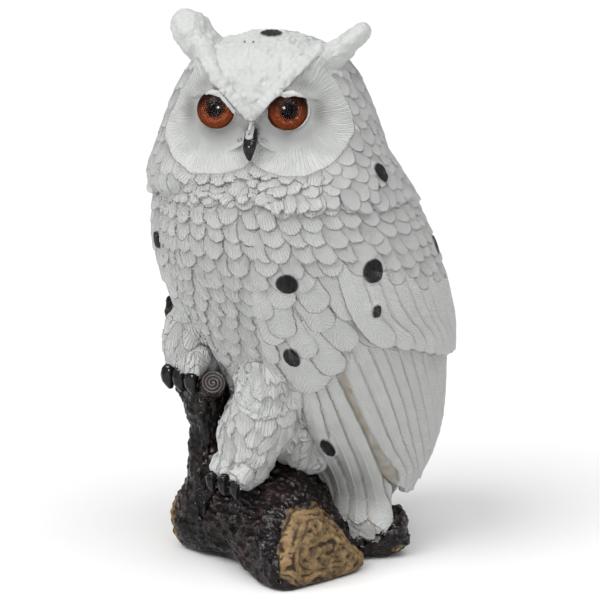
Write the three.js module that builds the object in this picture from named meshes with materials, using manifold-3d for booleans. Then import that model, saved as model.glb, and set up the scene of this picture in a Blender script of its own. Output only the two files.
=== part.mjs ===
// Cast resin owl figurine on a cut log. Millimetres, +Z up. The owl's body faces -Y, its left wing is at +X,
// and its head is turned towards its left. The origin is on the ground, under the middle of the figurine.
import * as THREE from "three";
import { mergeVertices } from "three/addons/utils/BufferGeometryUtils.js";
import Module from "manifold-3d";

const wasm = await Module();
wasm.setup();

// ---- Driving dimensions -------------------------------------------------------------------------
const GAP = 0.4; // glue line between two castings
const WALL = 5; // wall of the slush-cast hollow shells
const WING_THICK = 5.5;
const PAD_THICK = 1.5; // felt under the log
const NECK = { y: -18, z: 211, tilt: 7 }; // the joint plane between head and body, higher at the face
const FACE_TURN = THREE.MathUtils.degToRad(34); // the head looks this far towards the owl's left
const HEAD = { y: -22.5, z: 235, up: 62, down: 45, flat: 45 }; // flat: how far out the face is
const EYE = { apart: 37.8, z: 259, glass: 11.6, sink: 6.2, iris: 10, irisThick: 1.2 };
const BEAK_Z = 241;
const PIN_RADIUS = 2;

// The plumage's outer envelope: [height, half width, half depth to the front, the same to the back, middle's y].
const ENVELOPE = [
  [14, 34, 12, 33, 29],
  [30, 42, 14, 41, 28],
  [47, 51, 21, 56, 28],
  [61, 58, 34, 61, 27],
  [75, 64, 47, 64, 25],
  [91, 69, 57, 65, 22],
  [105, 72, 62, 65, 20],
  [119, 74, 68, 68, 17],
  [133, 77, 73, 73, 13],
  [147, 78, 76, 77, 8],
  [161, 79, 77, 79, 2],
  [175, 78, 78, 78, -3],
  [189, 76, 77, 77, -8],
  [203, 72, 73, 73, -13],
  [216, 68, 69, 69, -18],
  [230, 63, 63, 63, -22],
];

// ---- Small helpers ------------------------------------------------------------------------------
const { sin, cos, sqrt, hypot, atan2, abs, max, min, PI, sign } = Math;
const rad = THREE.MathUtils.degToRad;

// A smooth curve through keys [t, value, value, ...] sorted by t: the values at t.
function along(keys, t) {
  const last = keys.length - 1;
  if (t <= keys[0][0]) return keys[0].slice(1);
  if (t >= keys[last][0]) return keys[last].slice(1);
  const i = keys.findIndex((k) => k[0] > t) - 1;
  const a = keys[i];
  const b = keys[i + 1];
  const span = b[0] - a[0];
  const s = (t - a[0]) / span;
  return a.slice(1).map((p, j) => {
    const before = keys[max(i - 1, 0)];
    const after = keys[min(i + 2, last)];
    const slopeA = ((b[j + 1] - before[j + 1]) / (b[0] - before[0])) * span;
    const slopeB = ((after[j + 1] - p) / (after[0] - a[0])) * span;
    const cubic = 2 * p - 2 * b[j + 1] + slopeA + slopeB;
    const square = -3 * p + 3 * b[j + 1] - 2 * slopeA - slopeB;
    return ((cubic * s + square) * s + slopeA) * s + p;
  });
}

// Moves each vertex of a primitive to where place(vertex) says.
function bent(geometry, place) {
  const points = geometry.attributes.position;
  const v = new THREE.Vector3();
  for (let i = 0; i < points.count; i++) {
    const to = place(v.fromBufferAttribute(points, i));
    points.setXYZ(i, to.x, to.y, to.z);
  }
  return geometry;
}

// A closed geometry as a manifold-3d solid.
function solid(geometry) {
  const bare = geometry.clone();
  bare.deleteAttribute("normal");
  bare.deleteAttribute("uv");
  const merged = mergeVertices(bare, 1e-4);
  return new wasm.Manifold(
    new wasm.Mesh({
      numProp: 3,
      vertProperties: new Float32Array(merged.attributes.position.array),
      triVerts: new Uint32Array(merged.index.array),
    }),
  );
}

// A manifold-3d solid as a geometry, without slivers.
function geometryOf(made) {
  const mesh = made.simplify(0.15).getMesh();
  return new THREE.BufferGeometry()
    .setAttribute("position", new THREE.BufferAttribute(mesh.vertProperties, 3))
    .setIndex(new THREE.BufferAttribute(mesh.triVerts, 1));
}

// A unit sphere's vertices go to place(azimuth from -Y towards +X, height from -1 to 1, rim): rim is 1 around
// the waist and closes to 0 at both poles, the later the blunter.
function blob(around, rings, blunt, place) {
  const sphere = new THREE.SphereGeometry(1, around, rings).rotateX(PI / 2);
  return bent(sphere, ({ x, y, z }) => {
    const rim = (1 - min(abs(z), 1) ** blunt) ** (1 / blunt);
    return place(atan2(x, -y), z, rim);
  });
}

// A limb along a smooth line of keys [x, y, z, half width, half depth]. Its width lies as near to `across` as it
// can. Round ends close like a sphere, and the others are cut square.
function limb(keys, { across, round = true, blunt = 2.6, around = 14, rings = 10, grow = 0 }) {
  const spine = new THREE.CatmullRomCurve3(keys.map(([x, y, z]) => new THREE.Vector3(x, y, z)));
  const size = new THREE.CatmullRomCurve3(keys.map((k) => new THREE.Vector3(k[3], k[4], 0)));
  const start = round
    ? new THREE.SphereGeometry(1, around, rings).rotateX(PI / 2)
    : new THREE.CylinderGeometry(1, 1, 2, around, rings).rotateX(PI / 2);
  return bent(start, ({ x, y, z }) => {
    const at = min(max((z + 1) / 2, 0), 1);
    const tangent = spine.getTangent(at);
    const depth = new THREE.Vector3().crossVectors(tangent, across).normalize();
    const width = new THREE.Vector3().crossVectors(depth, tangent);
    const [halfWidth, halfDepth] = size.getPoint(at).toArray();
    const rim = round ? (1 - min(abs(z), 1) ** blunt) ** (1 / blunt) : hypot(x, y);
    const turn = atan2(y, x);
    return spine
      .getPoint(at)
      .addScaledVector(tangent, grow * sign(z) * (abs(z) > 0.999 ? 1 : 0))
      .addScaledVector(width, (halfWidth + grow) * rim * cos(turn))
      .addScaledVector(depth, (halfDepth + grow) * rim * sin(turn));
  });
}

// A big box whose lower face is the plane z = height, after a tilt about the neck.
function above(height, tilt = 0) {
  const box = new THREE.BoxGeometry(500, 500, 400).translate(0, 0, 200);
  box.applyQuaternion(new THREE.Quaternion().setFromAxisAngle(new THREE.Vector3(1, 0, 0), -rad(tilt)));
  box.applyQuaternion(new THREE.Quaternion().setFromAxisAngle(new THREE.Vector3(0, 0, 1), FACE_TURN));
  return solid(box.translate(0, NECK.y, height));
}

// ---- The plumage envelope -----------------------------------------------------------------------
// The point on it at an azimuth (0 at the breast, +90 degrees at the owl's left) and a height.
function plumage(azimuth, z, inset = 0, rim = 1) {
  const [side, front, back, middle] = along(ENVELOPE, z);
  const depth = cos(azimuth) > 0 ? front : back;
  return new THREE.Vector3(
    (side - inset) * rim * sin(azimuth),
    middle - (depth - inset) * rim * cos(azimuth),
    z,
  );
}

// ---- Body ---------------------------------------------------------------------------------------
const BODY = { low: 45, high: 236, blunt: 5 };
const BREAST_SWELL = 3.5; // the breast stands out between the wings

function bodyShape(inset, around, rings) {
  const middle = (BODY.low + BODY.high) / 2;
  const half = (BODY.high - BODY.low) / 2 - inset;
  return solid(
    blob(around, rings, BODY.blunt, (azimuth, c, rim) => {
      const z = middle + half * c;
      const swell = z > 90 ? BREAST_SWELL * max(0, cos(min(abs(azimuth) * 3.2, PI / 2))) : 0;
      return plumage(azimuth, z, WING_THICK + GAP + inset - swell, rim);
    }),
  );
}

// ---- Head ---------------------------------------------------------------------------------------
// A point given by how far it lies to the face's left, out of the face, and its height.
function facePoint(left, out, z) {
  return new THREE.Vector3(
    left * cos(FACE_TURN) + out * sin(FACE_TURN),
    HEAD.y + left * sin(FACE_TURN) - out * cos(FACE_TURN),
    z,
  );
}
const FACE_OUT = facePoint(0, 1, 0).sub(facePoint(0, 0, 0));
const FACE_LEFT = facePoint(1, 0, 0).sub(facePoint(0, 0, 0));
const UP = new THREE.Vector3(0, 0, 1);

// The head's half width, as a share of a true ellipsoid's at the same height.
const HEAD_ROUND = [
  [235, 62.8],
  [250, 59.5],
  [267, 59.5],
  [283, 64],
  [297, 66],
];

function headShape(inset, around, rings) {
  return solid(
    blob(around, rings, 2, (azimuth, c) => {
      const z = HEAD.z + c * ((c > 0 ? HEAD.up : HEAD.down) - inset);
      const crown = sqrt(max(0, 1 - max(c, 0) ** 2));
      const [side, , , middle] = along(ENVELOPE, z);
      const foot = c < 0 ? (1 - abs(c) ** 8) ** (1 / 8) : 1;
      let radius = (c < 0 ? side - inset : along(HEAD_ROUND, z)[0] - inset) * crown * foot;
      const toFace = cos(azimuth - FACE_TURN);
      if (toFace > 0.3) {
        // The face is flat: a soft minimum of the round head and the face's plane.
        const plane = (HEAD.flat + max(0, HEAD.z - z) * 0.55 - inset) / toFace;
        radius = (radius ** -9 + plane ** -9) ** (-1 / 9);
      }
      return new THREE.Vector3(radius * sin(azimuth), middle - radius * cos(azimuth), z);
    }),
  );
}

// Brow ridge from above the beak out to the ear tuft. side is 1 for the owl's left.
function browRidge(side) {
  const keys = [
    [0, 43, 252, 4, 4],
    [9, 44, 261, 4.5, 4.5],
    [19, 41, 271, 5.5, 5],
    [28, 30, 280, 7, 6],
    [34, 20, 285, 6, 6],
  ];
  return solid(
    limb(
      keys.map(([left, out, z, w, d]) => [...facePoint(side * left, out, z).toArray(), w, d]),
      { across: UP, around: 10, rings: 8 },
    ),
  );
}

const TUFT_BLADE = { left: 0, right: 20 }; // how far each blade is turned from the face's forward direction
function earTuft(side, grow = 0) {
  const turn = rad(side > 0 ? TUFT_BLADE.left : TUFT_BLADE.right) * side;
  const across = FACE_OUT.clone().applyAxisAngle(UP, turn);
  const keys =
    side > 0
      ? [
          [27, 12, 270, 8, 6],
          [35, 12, 281, 11, 6],
          [44, 11, 291, 12, 5.2],
          [54, 9, 300, 9, 4.6],
        ]
      : [
          [-20, 12, 272, 10, 8],
          [-30, 12, 284, 12, 8.6],
          [-39, 12, 296, 12.5, 8.8],
          [-48, 11, 304, 9.5, 7.5],
        ];
  return solid(
    limb(
      keys.map(([left, out, z, w, d]) => [...facePoint(left, out, z).toArray(), w, d]),
      { across, around: 14, rings: 10, blunt: 3.4, grow },
    ),
  );
}

function eyePlace(side) {
  return facePoint((side * EYE.apart) / 2, HEAD.flat - 1.5, EYE.z);
}

// A glass eye: the cap of a ball, flat at the back, looking out of the face and a little sideways.
function eyeTurn(side) {
  const look = FACE_OUT.clone().addScaledVector(FACE_LEFT, side * 0.22).normalize();
  return new THREE.Quaternion().setFromUnitVectors(UP, look);
}
function eyeGlass(side, grow = 0) {
  const radius = EYE.glass + grow;
  const base = EYE.sink - grow;
  const rimRadius = sqrt(radius ** 2 - base ** 2);
  const arc = [...Array(9).keys()].map((i) => {
    const t = (i / 8) * atan2(rimRadius, base);
    return new THREE.Vector2(radius * sin(t), radius * cos(t));
  });
  const profile = [...arc, new THREE.Vector2(0, base)].reverse();
  const cap = new THREE.LatheGeometry(profile, 20).rotateX(PI / 2).translate(0, 0, -radius + 4);
  const at = eyePlace(side);
  return solid(cap.applyQuaternion(eyeTurn(side)).translate(at.x, at.y, at.z));
}
// The painted disc behind the glass.
function irisDisc(side, grow = 0) {
  const height = EYE.irisThick + 2 * grow;
  const back = EYE.sink - EYE.glass + 4 - GAP - EYE.irisThick / 2;
  const disc = new THREE.CylinderGeometry(EYE.iris - 1 + grow, EYE.iris - 1 + grow, height, 20)
    .rotateX(PI / 2)
    .translate(0, 0, back);
  const at = eyePlace(side);
  return solid(disc.applyQuaternion(eyeTurn(side)).translate(at.x, at.y, at.z));
}

function beak(grow = 0) {
  const keys = [
    [0, HEAD.flat - 6, BEAK_Z + 8, 2.6, 2],
    [0, HEAD.flat + 3, BEAK_Z + 4.5, 3.4, 3.2],
    [0, HEAD.flat + 7, BEAK_Z - 1, 3.2, 3.2],
    [0, HEAD.flat + 6.5, BEAK_Z - 7.5, 1.6, 1.6],
  ];
  return solid(
    limb(
      keys.map(([left, out, z, w, d]) => [...facePoint(left, out, z).toArray(), w, d]),
      { across: FACE_LEFT, around: 10, rings: 10, grow },
    ),
  );
}

// ---- Wings and tail -----------------------------------------------------------------------------
const REAR_EDGE = 171; // degrees round from the breast: the wings all but meet on the back
const WING_TOP = 216;
const RIGHT_WING_BACK = 7; // degrees: the right wing shows more of the breast than the left one
const FRONT_EDGE = [
  [14, 32], // [height, degrees round from the breast]
  [22, 27],
  [35, 8],
  [57, 9],
  [84, 25],
  [106, 25],
  [131, 22],
  [150, 22],
  [166, 25],
  [185, 29],
  [199, 34],
  [216, 43],
];
const LOWER_EDGE = [
  [25, 24], // [degrees round, height of the feather tips]
  [50, 19],
  [70, 16],
  [90, 20],
  [104, 29],
  [122, 33],
  [138, 48],
  [152, 66],
  [171, 88],
];

// side is 1 for the owl's left wing.
function wing(side, grow = 0) {
  const plate = new THREE.BoxGeometry(1, 1, 1, 12, 14, 1);
  return solid(
    bent(plate, ({ x, y, z: w }) => {
      const u = 0.5 + side * x;
      const reach = FRONT_EDGE[0][1] + u * (REAR_EDGE - FRONT_EDGE[0][1]);
      const low = along(LOWER_EDGE, reach)[0] - grow;
      const height = low + (y + 0.5) * (WING_TOP + grow - low);
      const front = along(FRONT_EDGE, height)[0] + (side < 0 ? RIGHT_WING_BACK : 0) - grow * 0.8;
      const azimuth = rad(front + u * (REAR_EDGE + grow * 0.8 - front));
      const inset = w < 0 ? WING_THICK + grow : -grow;
      return plumage(side * azimuth, height, inset);
    }),
  );
}

// A short peg on the wing's inner face, which keys it to the body.
function wingPeg(side, grow = 0) {
  const peg = new THREE.CylinderGeometry(5 + grow, 5 + grow, 14 + 2 * grow, 16)
    .rotateZ(PI / 2)
    .translate(side * (plumage(PI / 2, 165).x - WING_THICK - 5), 2, 165);
  return solid(peg);
}

function tail(grow = 0) {
  const keys = [
    [0, 66, 112, 13, 5],
    [0, 72, 80, 17, 5],
    [0, 68, 50, 18, 4.5],
    [0, 62, 22, 16, 3.5],
  ];
  return solid(limb(keys, { across: new THREE.Vector3(1, 0, 0), blunt: 5, around: 16, rings: 12, grow }));
}

// ---- Legs, feet and claws -----------------------------------------------------------------------
const X = new THREE.Vector3(1, 0, 0);
// Where each foot stands, how far in front of that its toes reach, and how high above its sole they end.
const FEET = {
  right: { x: -34, y: -47, z: 103, reach: 9, lift: 5 },
  left: { x: -4, y: -40, z: 53, reach: 12, lift: 0 },
};

function legShape(keys, grow) {
  return solid(limb(keys, { across: X, around: 16, rings: 12, blunt: 3, grow }));
}
// Feathered shank, with three toes that droop over the front of the perch.
function leg(name, grow = 0) {
  const { x, y, z } = FEET[name];
  const shank =
    name === "right"
      ? [
          [x + 14, y + 26, z + 56, 15, 15],
          [x - 1, y + 5, z + 35, 14, 14],
          [x - 6, y - 2, z + 21, 13, 13],
          [x - 3, y, z + 6, 14, 12],
        ]
      : [
          [x + 16, y - 2, z + 82, 14, 12],
          [x + 16, y + 3, z + 64, 18, 15],
          [x + 11, y + 8, z + 44, 19, 17],
          [x + 4, y + 2, z + 24, 20, 18],
          [x, y, z - 4, 14, 13],
        ];
  const limbs = name === "right" ? legShape(shank, grow) : legShape(shank, grow).add(thigh(grow));
  return TOES.reduce((made, toe) => made.add(toeShape(name, toe, grow)), limbs);
}
// The fluff of the left thigh, hanging behind the shank and closing the gap under the belly.
function thigh(grow) {
  const { x, y, z } = FEET.left;
  const keys = [
    [x + 12, y + 20, z + 44, 16, 14],
    [x + 13, y + 25, z + 24, 14, 13],
    [x + 11, y + 31, z + 8, 10.5, 10],
    [x + 10, y + 33, z + 1, 6, 6],
  ];
  return legShape(keys, grow);
}
const TOES = [
  { name: "inner", left: 8.5 },
  { name: "middle", left: 0 },
  { name: "outer", left: -8.5 },
];
function toeKeys(name, toe) {
  const { x, y, z, reach, lift } = FEET[name];
  const spread = toe.left;
  const end = z + lift;
  return [
    [x + spread * 0.5, y, z + 13, 7, 7],
    [x + spread * 0.9, y - reach * 0.55, end + 10.5, 6, 6.2],
    [x + spread * 1.05, y - reach * 0.92, end + 5.5, 5, 5],
    [x + spread * 1.1, y - reach, end + 0.5, 3.4, 3.2],
  ];
}
function toeShape(name, toe, grow) {
  return solid(limb(toeKeys(name, toe), { across: X, around: 10, rings: 8, grow }));
}
function claw(name, toe, grow = 0) {
  const { x, y, z, reach, lift } = FEET[name];
  const side = x + toe.left * 1.12;
  const front = y - reach;
  const end = z + lift;
  const keys = [
    [side, front + 1.5, end + 5, 2, 2],
    [side, front - 3, end + 1.5, 2.6, 2.7],
    [side, front - 3.5, end - 2.5, 2.2, 2.3],
    [side, front - 1, end - 8, 0.9, 0.9],
  ];
  return solid(limb(keys, { across: X, around: 8, rings: 8, grow }));
}
// A steel pin from inside the leg down into its perch.
function legPin(name, grow = 0) {
  const { x, y, z } = FEET[name];
  const length = 32 + 2 * grow;
  const pin = new THREE.CylinderGeometry(PIN_RADIUS + grow, PIN_RADIUS + grow, length, 12).rotateX(PI / 2);
  return solid(pin.translate(x, y, z - 3));
}

// ---- Log, stump and side branch -----------------------------------------------------------------
const Y = new THREE.Vector3(0, 1, 0);
// The sloping face hewn off the log's left end, behind its sawn end: everything beyond a plane.
const HEWN = { at: [45, -36, 44], facing: [0.62, 0.52, 0.58] };
function hewnFace(grow) {
  const facing = new THREE.Vector3(...HEWN.facing).normalize();
  const beyond = new THREE.BoxGeometry(120, 120, 60).translate(0, 0, 30 + grow);
  beyond.applyQuaternion(new THREE.Quaternion().setFromUnitVectors(UP, facing));
  return solid(beyond.translate(...HEWN.at));
}
function mainLog(grow = 0) {
  const keys = [
    [-67, -26, 15, 26, 24],
    [-42, -19, 18, 29, 26],
    [-14, -14, 24, 34, 31],
    [10, -19, 24, 33, 34],
    [28, -22, 14, 34, 33],
    [46, -24, 10, 34, 34],
  ];
  const trunk = solid(limb(keys, { across: Y, blunt: 6, around: 28, rings: 14, grow }));
  return trunk.subtract(hewnFace(grow));
}
const BRANCH = [
  [-4, -2, 13, 16, 17],
  [16, 17, 12, 15, 16],
  [32, 32, 14, 14, 15],
  [43, 42, 16, 12.5, 13],
];
function sideBranch(grow = 0) {
  return solid(
    limb(BRANCH, { across: new THREE.Vector3(-1, 1, 0), blunt: 6, around: 18, rings: 12, grow }),
  );
}
function stump(grow = 0) {
  const trunk = limb(
    [
      [-40, -36, 26, 17, 15],
      [-34, -38, 52, 11.5, 12],
      [-31, -40, 80, 11.5, 12],
      [-31, -44, FEET.right.z - 0.5, 13, 13],
    ],
    { across: X, round: false, around: 16, rings: 8, grow },
  );
  const spur = limb(
    [
      [-43, -38, 84, 8, 8],
      [-50, -41, 104, 8, 8],
      [-54, -43, 126, 7, 7],
      [-54, -43, 148, 5, 5],
    ],
    { across: X, around: 12, rings: 10, blunt: 5, grow },
  );
  return solid(trunk).add(solid(spur));
}
// The sawn-off twig on the stump, with a spiral of rings on its end.
function knot(grow = 0) {
  const keys = [
    [-24, -46, 99, 6.5, 6.5],
    [-15, -52.5, 105.5, 7, 7],
    [-11.5, -55, 108, 6.8, 6.8],
  ];
  return solid(limb(keys, { across: X, round: false, around: 14, rings: 3, grow }));
}

const PADS = [
  { name: "front_left", x: 27, y: -34 },
  { name: "front_right", x: -44, y: -25 },
  { name: "back_left", x: 32, y: 31 },
  { name: "back_right", x: -26, y: 2 },
];
function pad({ x, y }) {
  return new THREE.CylinderGeometry(6.5, 6.5, PAD_THICK, 20).rotateX(PI / 2).translate(x, y, PAD_THICK / 2);
}

// ---- Assembly -----------------------------------------------------------------------------------
const white = { color: 0xe2e2df, roughness: 0.5, metalness: 0 };
const black = { color: 0x17171a, roughness: 0.35, metalness: 0 };
const bark = { color: 0x231713, roughness: 0.4, metalness: 0 };
const FINISHES = {
  white_paint: new THREE.MeshStandardMaterial(white),
  black_paint: new THREE.MeshStandardMaterial(black),
  bark_paint: new THREE.MeshStandardMaterial(bark),
  glass: new THREE.MeshStandardMaterial({ color: 0xf2efe9, roughness: 0.05, transparent: true, opacity: 0.35 }),
  iris: new THREE.MeshStandardMaterial({ color: 0x7c2c0c, roughness: 0.4 }),
  steel: new THREE.MeshStandardMaterial({ color: 0x9a9da1, roughness: 0.3, metalness: 1 }),
  felt: new THREE.MeshStandardMaterial({ color: 0x1b1b1c, roughness: 0.95 }),
};
const owl = new THREE.Group();
function put(name, finish, shape) {
  const mesh = new THREE.Mesh(shape.isBufferGeometry ? shape : geometryOf(shape), FINISHES[finish]);
  mesh.name = name;
  owl.add(mesh);
}
function cut(from, ...tools) {
  return tools.reduce((left, tool) => left.subtract(tool), from);
}
function largest(made) {
  return made.decompose().sort((a, b) => b.volume() - a.volume())[0];
}

const sides = { left: 1, right: -1 };
const overNeck = above(NECK.z, NECK.tilt);
const bodyOuter = bodyShape(0, 32, 18);
const bodyGrown = bodyShape(-GAP, 32, 18);
const bodyInner = bodyShape(WALL, 16, 10);

// Body: open at the neck, with holes for the wing pegs.
put(
  "body_shell",
  "white_paint",
  largest(
    cut(
      bodyOuter,
      bodyInner,
      overNeck,
      ...Object.values(sides).map((side) => wingPeg(side, GAP)),
    ),
  ),
);

// Head: a skirt that meets the body on the neck plane, and a ring that drops inside the body's mouth.
const headOuter = headShape(0, 36, 22)
  .add(browRidge(1))
  .add(browRidge(-1))
  .intersect(above(NECK.z + GAP, NECK.tilt));
const headInner = headShape(WALL, 16, 10);
const ring = bodyShape(WALL + GAP, 16, 10)
  .intersect(above(NECK.z - 9, NECK.tilt))
  .subtract(above(NECK.z + 3, NECK.tilt));
const eyeCuts = Object.values(sides).flatMap((side) => [eyeGlass(side, GAP), irisDisc(side, GAP)]);
put(
  "head_shell",
  "white_paint",
  largest(
    cut(
      headOuter.add(ring),
      headInner,
      bodyShape(WALL * 1.9, 16, 10),
      earTuft(1, GAP),
      earTuft(-1, GAP),
      beak(GAP),
      ...eyeCuts,
    ),
  ),
);

for (const [name, side] of Object.entries(sides)) {
  put(`ear_tuft_${name}`, "white_paint", largest(cut(earTuft(side), headShape(WALL - 1, 20, 12))));
  put(`eye_glass_${name}`, "glass", eyeGlass(side));
  put(`iris_disc_${name}`, "iris", irisDisc(side));
}
put("beak", "black_paint", largest(cut(beak(), ...eyeCuts)));

const legsGrown = Object.keys(FEET).map((name) => leg(name, GAP));
const tailSolid = cut(tail(), bodyGrown);
for (const [name, side] of Object.entries(sides)) {
  const plate = largest(cut(wing(side), bodyGrown, overNeck, tail(GAP), ...legsGrown));
  put(`wing_${name}`, "white_paint", plate.add(wingPeg(side)));
}
put("tail", "white_paint", largest(tailSolid));

// Each foot sits on its perch, and its claws are let into the toes.
const clawsGrown = Object.keys(FEET).flatMap((name) => TOES.map((toe) => claw(name, toe, GAP)));
const pinsGrown = Object.keys(FEET).map((name) => legPin(name, 0.2));
const perch = above(PAD_THICK);
const feltGrown = perch.intersect(mainLog(GAP));
for (const name of Object.keys(FEET)) {
  const seat = name === "right" ? [stump(GAP), knot(GAP)] : [mainLog(GAP), stump(GAP)];
  put(`leg_${name}`, "white_paint", largest(cut(leg(name), bodyGrown, ...seat, ...clawsGrown, ...pinsGrown)));
  put(`leg_pin_${name}`, "steel", legPin(name));
  for (const toe of TOES) {
    put(`claw_${name}_${toe.name}`, "black_paint", largest(cut(claw(name, toe), ...seat)));
  }
}

const wingsGrown = Object.values(sides).map((side) => wing(side, GAP));
put(
  "log",
  "bark_paint",
  largest(cut(mainLog(), ...wingsGrown, bodyGrown, ...pinsGrown).intersect(perch)),
);
put(
  "stump",
  "bark_paint",
  largest(cut(stump(), feltGrown, bodyGrown, ...wingsGrown, ...pinsGrown, leg("left", GAP))),
);
put("knot", "bark_paint", largest(cut(knot(), stump(GAP), bodyGrown, ...wingsGrown, leg("left", GAP))));
put(
  "side_branch",
  "bark_paint",
  largest(cut(sideBranch(), feltGrown, bodyGrown, tail(GAP), ...wingsGrown).intersect(perch)),
);
for (const spot of PADS) {
  put(`felt_pad_${spot.name}`, "felt", pad(spot));
}

// The origin is on the ground under the middle of the whole figurine.
const extent = new THREE.Box3().setFromObject(owl);
owl.position.set(-(extent.min.x + extent.max.x) / 2, -(extent.min.y + extent.max.y) / 2, -extent.min.z);

export default owl;
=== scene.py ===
"""Looks for the owl figurine: carved plumage, glass eyes, glossy bark and black flecks.

Works in millimetres inside and in metres at the edges. The owl's breast faces -Y and its left
is +X. Every place comes from the CAD frame.
"""

import math

import bpy
import numpy as np
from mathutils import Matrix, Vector
from mathutils.bvhtree import BVHTree


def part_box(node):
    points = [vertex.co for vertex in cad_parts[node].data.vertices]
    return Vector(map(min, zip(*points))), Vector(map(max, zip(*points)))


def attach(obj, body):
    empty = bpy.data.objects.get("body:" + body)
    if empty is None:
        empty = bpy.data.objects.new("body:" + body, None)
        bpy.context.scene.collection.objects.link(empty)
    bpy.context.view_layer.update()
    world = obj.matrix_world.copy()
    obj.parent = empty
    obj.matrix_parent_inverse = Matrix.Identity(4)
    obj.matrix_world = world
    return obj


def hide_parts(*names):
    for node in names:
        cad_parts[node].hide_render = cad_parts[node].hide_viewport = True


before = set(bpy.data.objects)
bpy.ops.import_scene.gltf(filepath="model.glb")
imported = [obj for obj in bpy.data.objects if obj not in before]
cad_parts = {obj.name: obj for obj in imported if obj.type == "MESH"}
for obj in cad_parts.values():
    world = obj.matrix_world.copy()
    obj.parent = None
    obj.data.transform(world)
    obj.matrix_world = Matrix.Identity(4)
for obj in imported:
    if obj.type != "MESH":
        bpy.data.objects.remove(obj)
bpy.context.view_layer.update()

MM = 0.001
rng = np.random.default_rng(12)


# ---- Arrays, noise and meshes ------------------------------------------------------------------
def unit(v):
    """Vectors at length 1."""
    return v / (np.linalg.norm(v, axis=-1, keepdims=True) + 1e-12)


def smoothstep(low, high, x):
    """A smooth rise from 0 at low to 1 at high, or a fall where low is the larger."""
    t = np.clip((x - low) / (high - low), 0, 1)
    return t * t * (3 - 2 * t)


def bump(x, width):
    """1 at 0, and nearly nothing at twice the width either way."""
    return np.exp(-((x / width) ** 2))


def lattice(i, seed):
    """A repeatable random number from -1 to 1 for each row of three whole numbers."""
    h = i[..., 0] * 73856093 ^ i[..., 1] * 19349663 ^ i[..., 2] * 83492791 ^ (seed * 2654435761)
    h = (h ^ (h >> 13)) * 1274126177 & 0x7FFFFFFF
    return (h ^ (h >> 16)) / 0x3FFFFFFF - 1


def noise(p, seed=0):
    """Smooth value noise at points p, one unit between its grains."""
    cell = np.floor(p).astype(np.int64)
    f = p - cell
    w = f * f * (3 - 2 * f)
    total = 0
    for corner in np.ndindex(2, 2, 2):
        c = np.array(corner)
        weight = np.prod(np.where(c, w, 1 - w), axis=-1)
        total = total + weight * lattice(cell + c, seed)
    return total


def layered(p, octaves=3, seed=0):
    """Noise with finer and fainter noise over it."""
    return sum(noise(p * 2**k, seed + k) / 2**k for k in range(octaves))


def nodes_tree(*names):
    """The named CAD nodes' faces, for casting rays at, in millimetres."""
    points, faces = [], []
    for name in names:
        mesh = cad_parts[name].data
        start = len(points)
        points += [v.co / MM for v in mesh.vertices]
        faces += [[start + i for i in p.vertices] for p in mesh.polygons]
    return BVHTree.FromPolygons(points, faces)


def corners(name):
    """A CAD node's box in millimetres: its lowest and its highest corner."""
    low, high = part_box(name)
    return np.array(low) / MM, np.array(high) / MM


def centre(name):
    low, high = corners(name)
    return (low + high) / 2


def build(name, points, faces, replaced, slot="white_paint", **fields):
    """A smooth-shaded mesh object from arrays, in its slot's material, that stands in for the
    replaced CAD nodes. Each field is one named number per vertex."""
    mesh = bpy.data.meshes.new(name)
    mesh.vertices.add(len(points))
    mesh.vertices.foreach_set("co", (points * MM).astype(np.float32).ravel())
    groups = faces if isinstance(faces, list) else [faces]
    corner = np.concatenate([g.ravel() for g in groups]).astype(np.int32)
    sizes = np.concatenate([np.full(len(g), g.shape[1]) for g in groups])
    mesh.loops.add(len(corner))
    mesh.loops.foreach_set("vertex_index", corner)
    mesh.polygons.add(len(sizes))
    mesh.polygons.foreach_set("loop_start", (np.cumsum(sizes) - sizes).astype(np.int32))
    mesh.update(calc_edges=True)
    mesh.shade_smooth()
    for field, values in fields.items():
        mesh.attributes.new(field, "FLOAT", "POINT").data.foreach_set("value", values.astype(np.float32))
    mesh.materials.append(MATERIALS[slot])
    obj = bpy.data.objects.new(name, mesh)
    bpy.context.collection.objects.link(obj)
    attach(obj, "root")
    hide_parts(*replaced)
    return obj


def grid_faces(rows, columns, wrap=False):
    """Quads of a grid of points numbered row by row. Rows run up, and columns to the owl's left as
    seen from in front."""
    across = columns if wrap else columns - 1
    r, c = np.meshgrid(np.arange(rows - 1), np.arange(across), indexing="ij")
    a, b = r * columns + c, r * columns + (c + 1) % columns
    return np.stack([a, b, b + columns, a + columns], -1).reshape(-1, 4)


def kept(points, faces, keep, *fields):
    """Drops the points where keep is false, and every face that uses one."""
    faces = faces[keep[faces].all(axis=1)]
    used = np.zeros(len(points), bool)
    used[faces] = True
    number = np.cumsum(used) - 1
    return points[used], number[faces], [f[used] for f in fields]


def rim_edges(faces):
    """The directed edges that only one face has."""
    a = faces.ravel()
    b = np.roll(faces, -1, axis=1).ravel()
    span = faces.max() + 1
    alone = ~np.isin(a * span + b, b * span + a)
    return a[alone], b[alone]


def evened_rim(points, faces, times=4):
    """Takes the steps out of a sheet's cut edge."""
    a, b = rim_edges(faces)
    points = points.copy()
    for _ in range(times):
        pull = np.zeros_like(points)
        count = np.zeros((len(points), 1))
        for p, q in ((a, b), (b, a)):
            np.add.at(pull, p, points[q])
            np.add.at(count, p, 1)
        on = count[:, 0] > 0
        points[on] = 0.5 * points[on] + 0.5 * pull[on] / count[on]
    return points


def thickened(outer, inner, faces, *fields):
    """Closes a sheet into a plate, with its other side at the inner points."""
    a, b = rim_edges(faces)
    n = len(outer)
    walls = np.stack([b, a, a + n, b + n], -1)
    return (
        np.vstack([outer, inner]),
        np.vstack([faces, faces[:, ::-1] + n, walls]),
        [np.concatenate([f, f]) for f in fields],
    )


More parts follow.
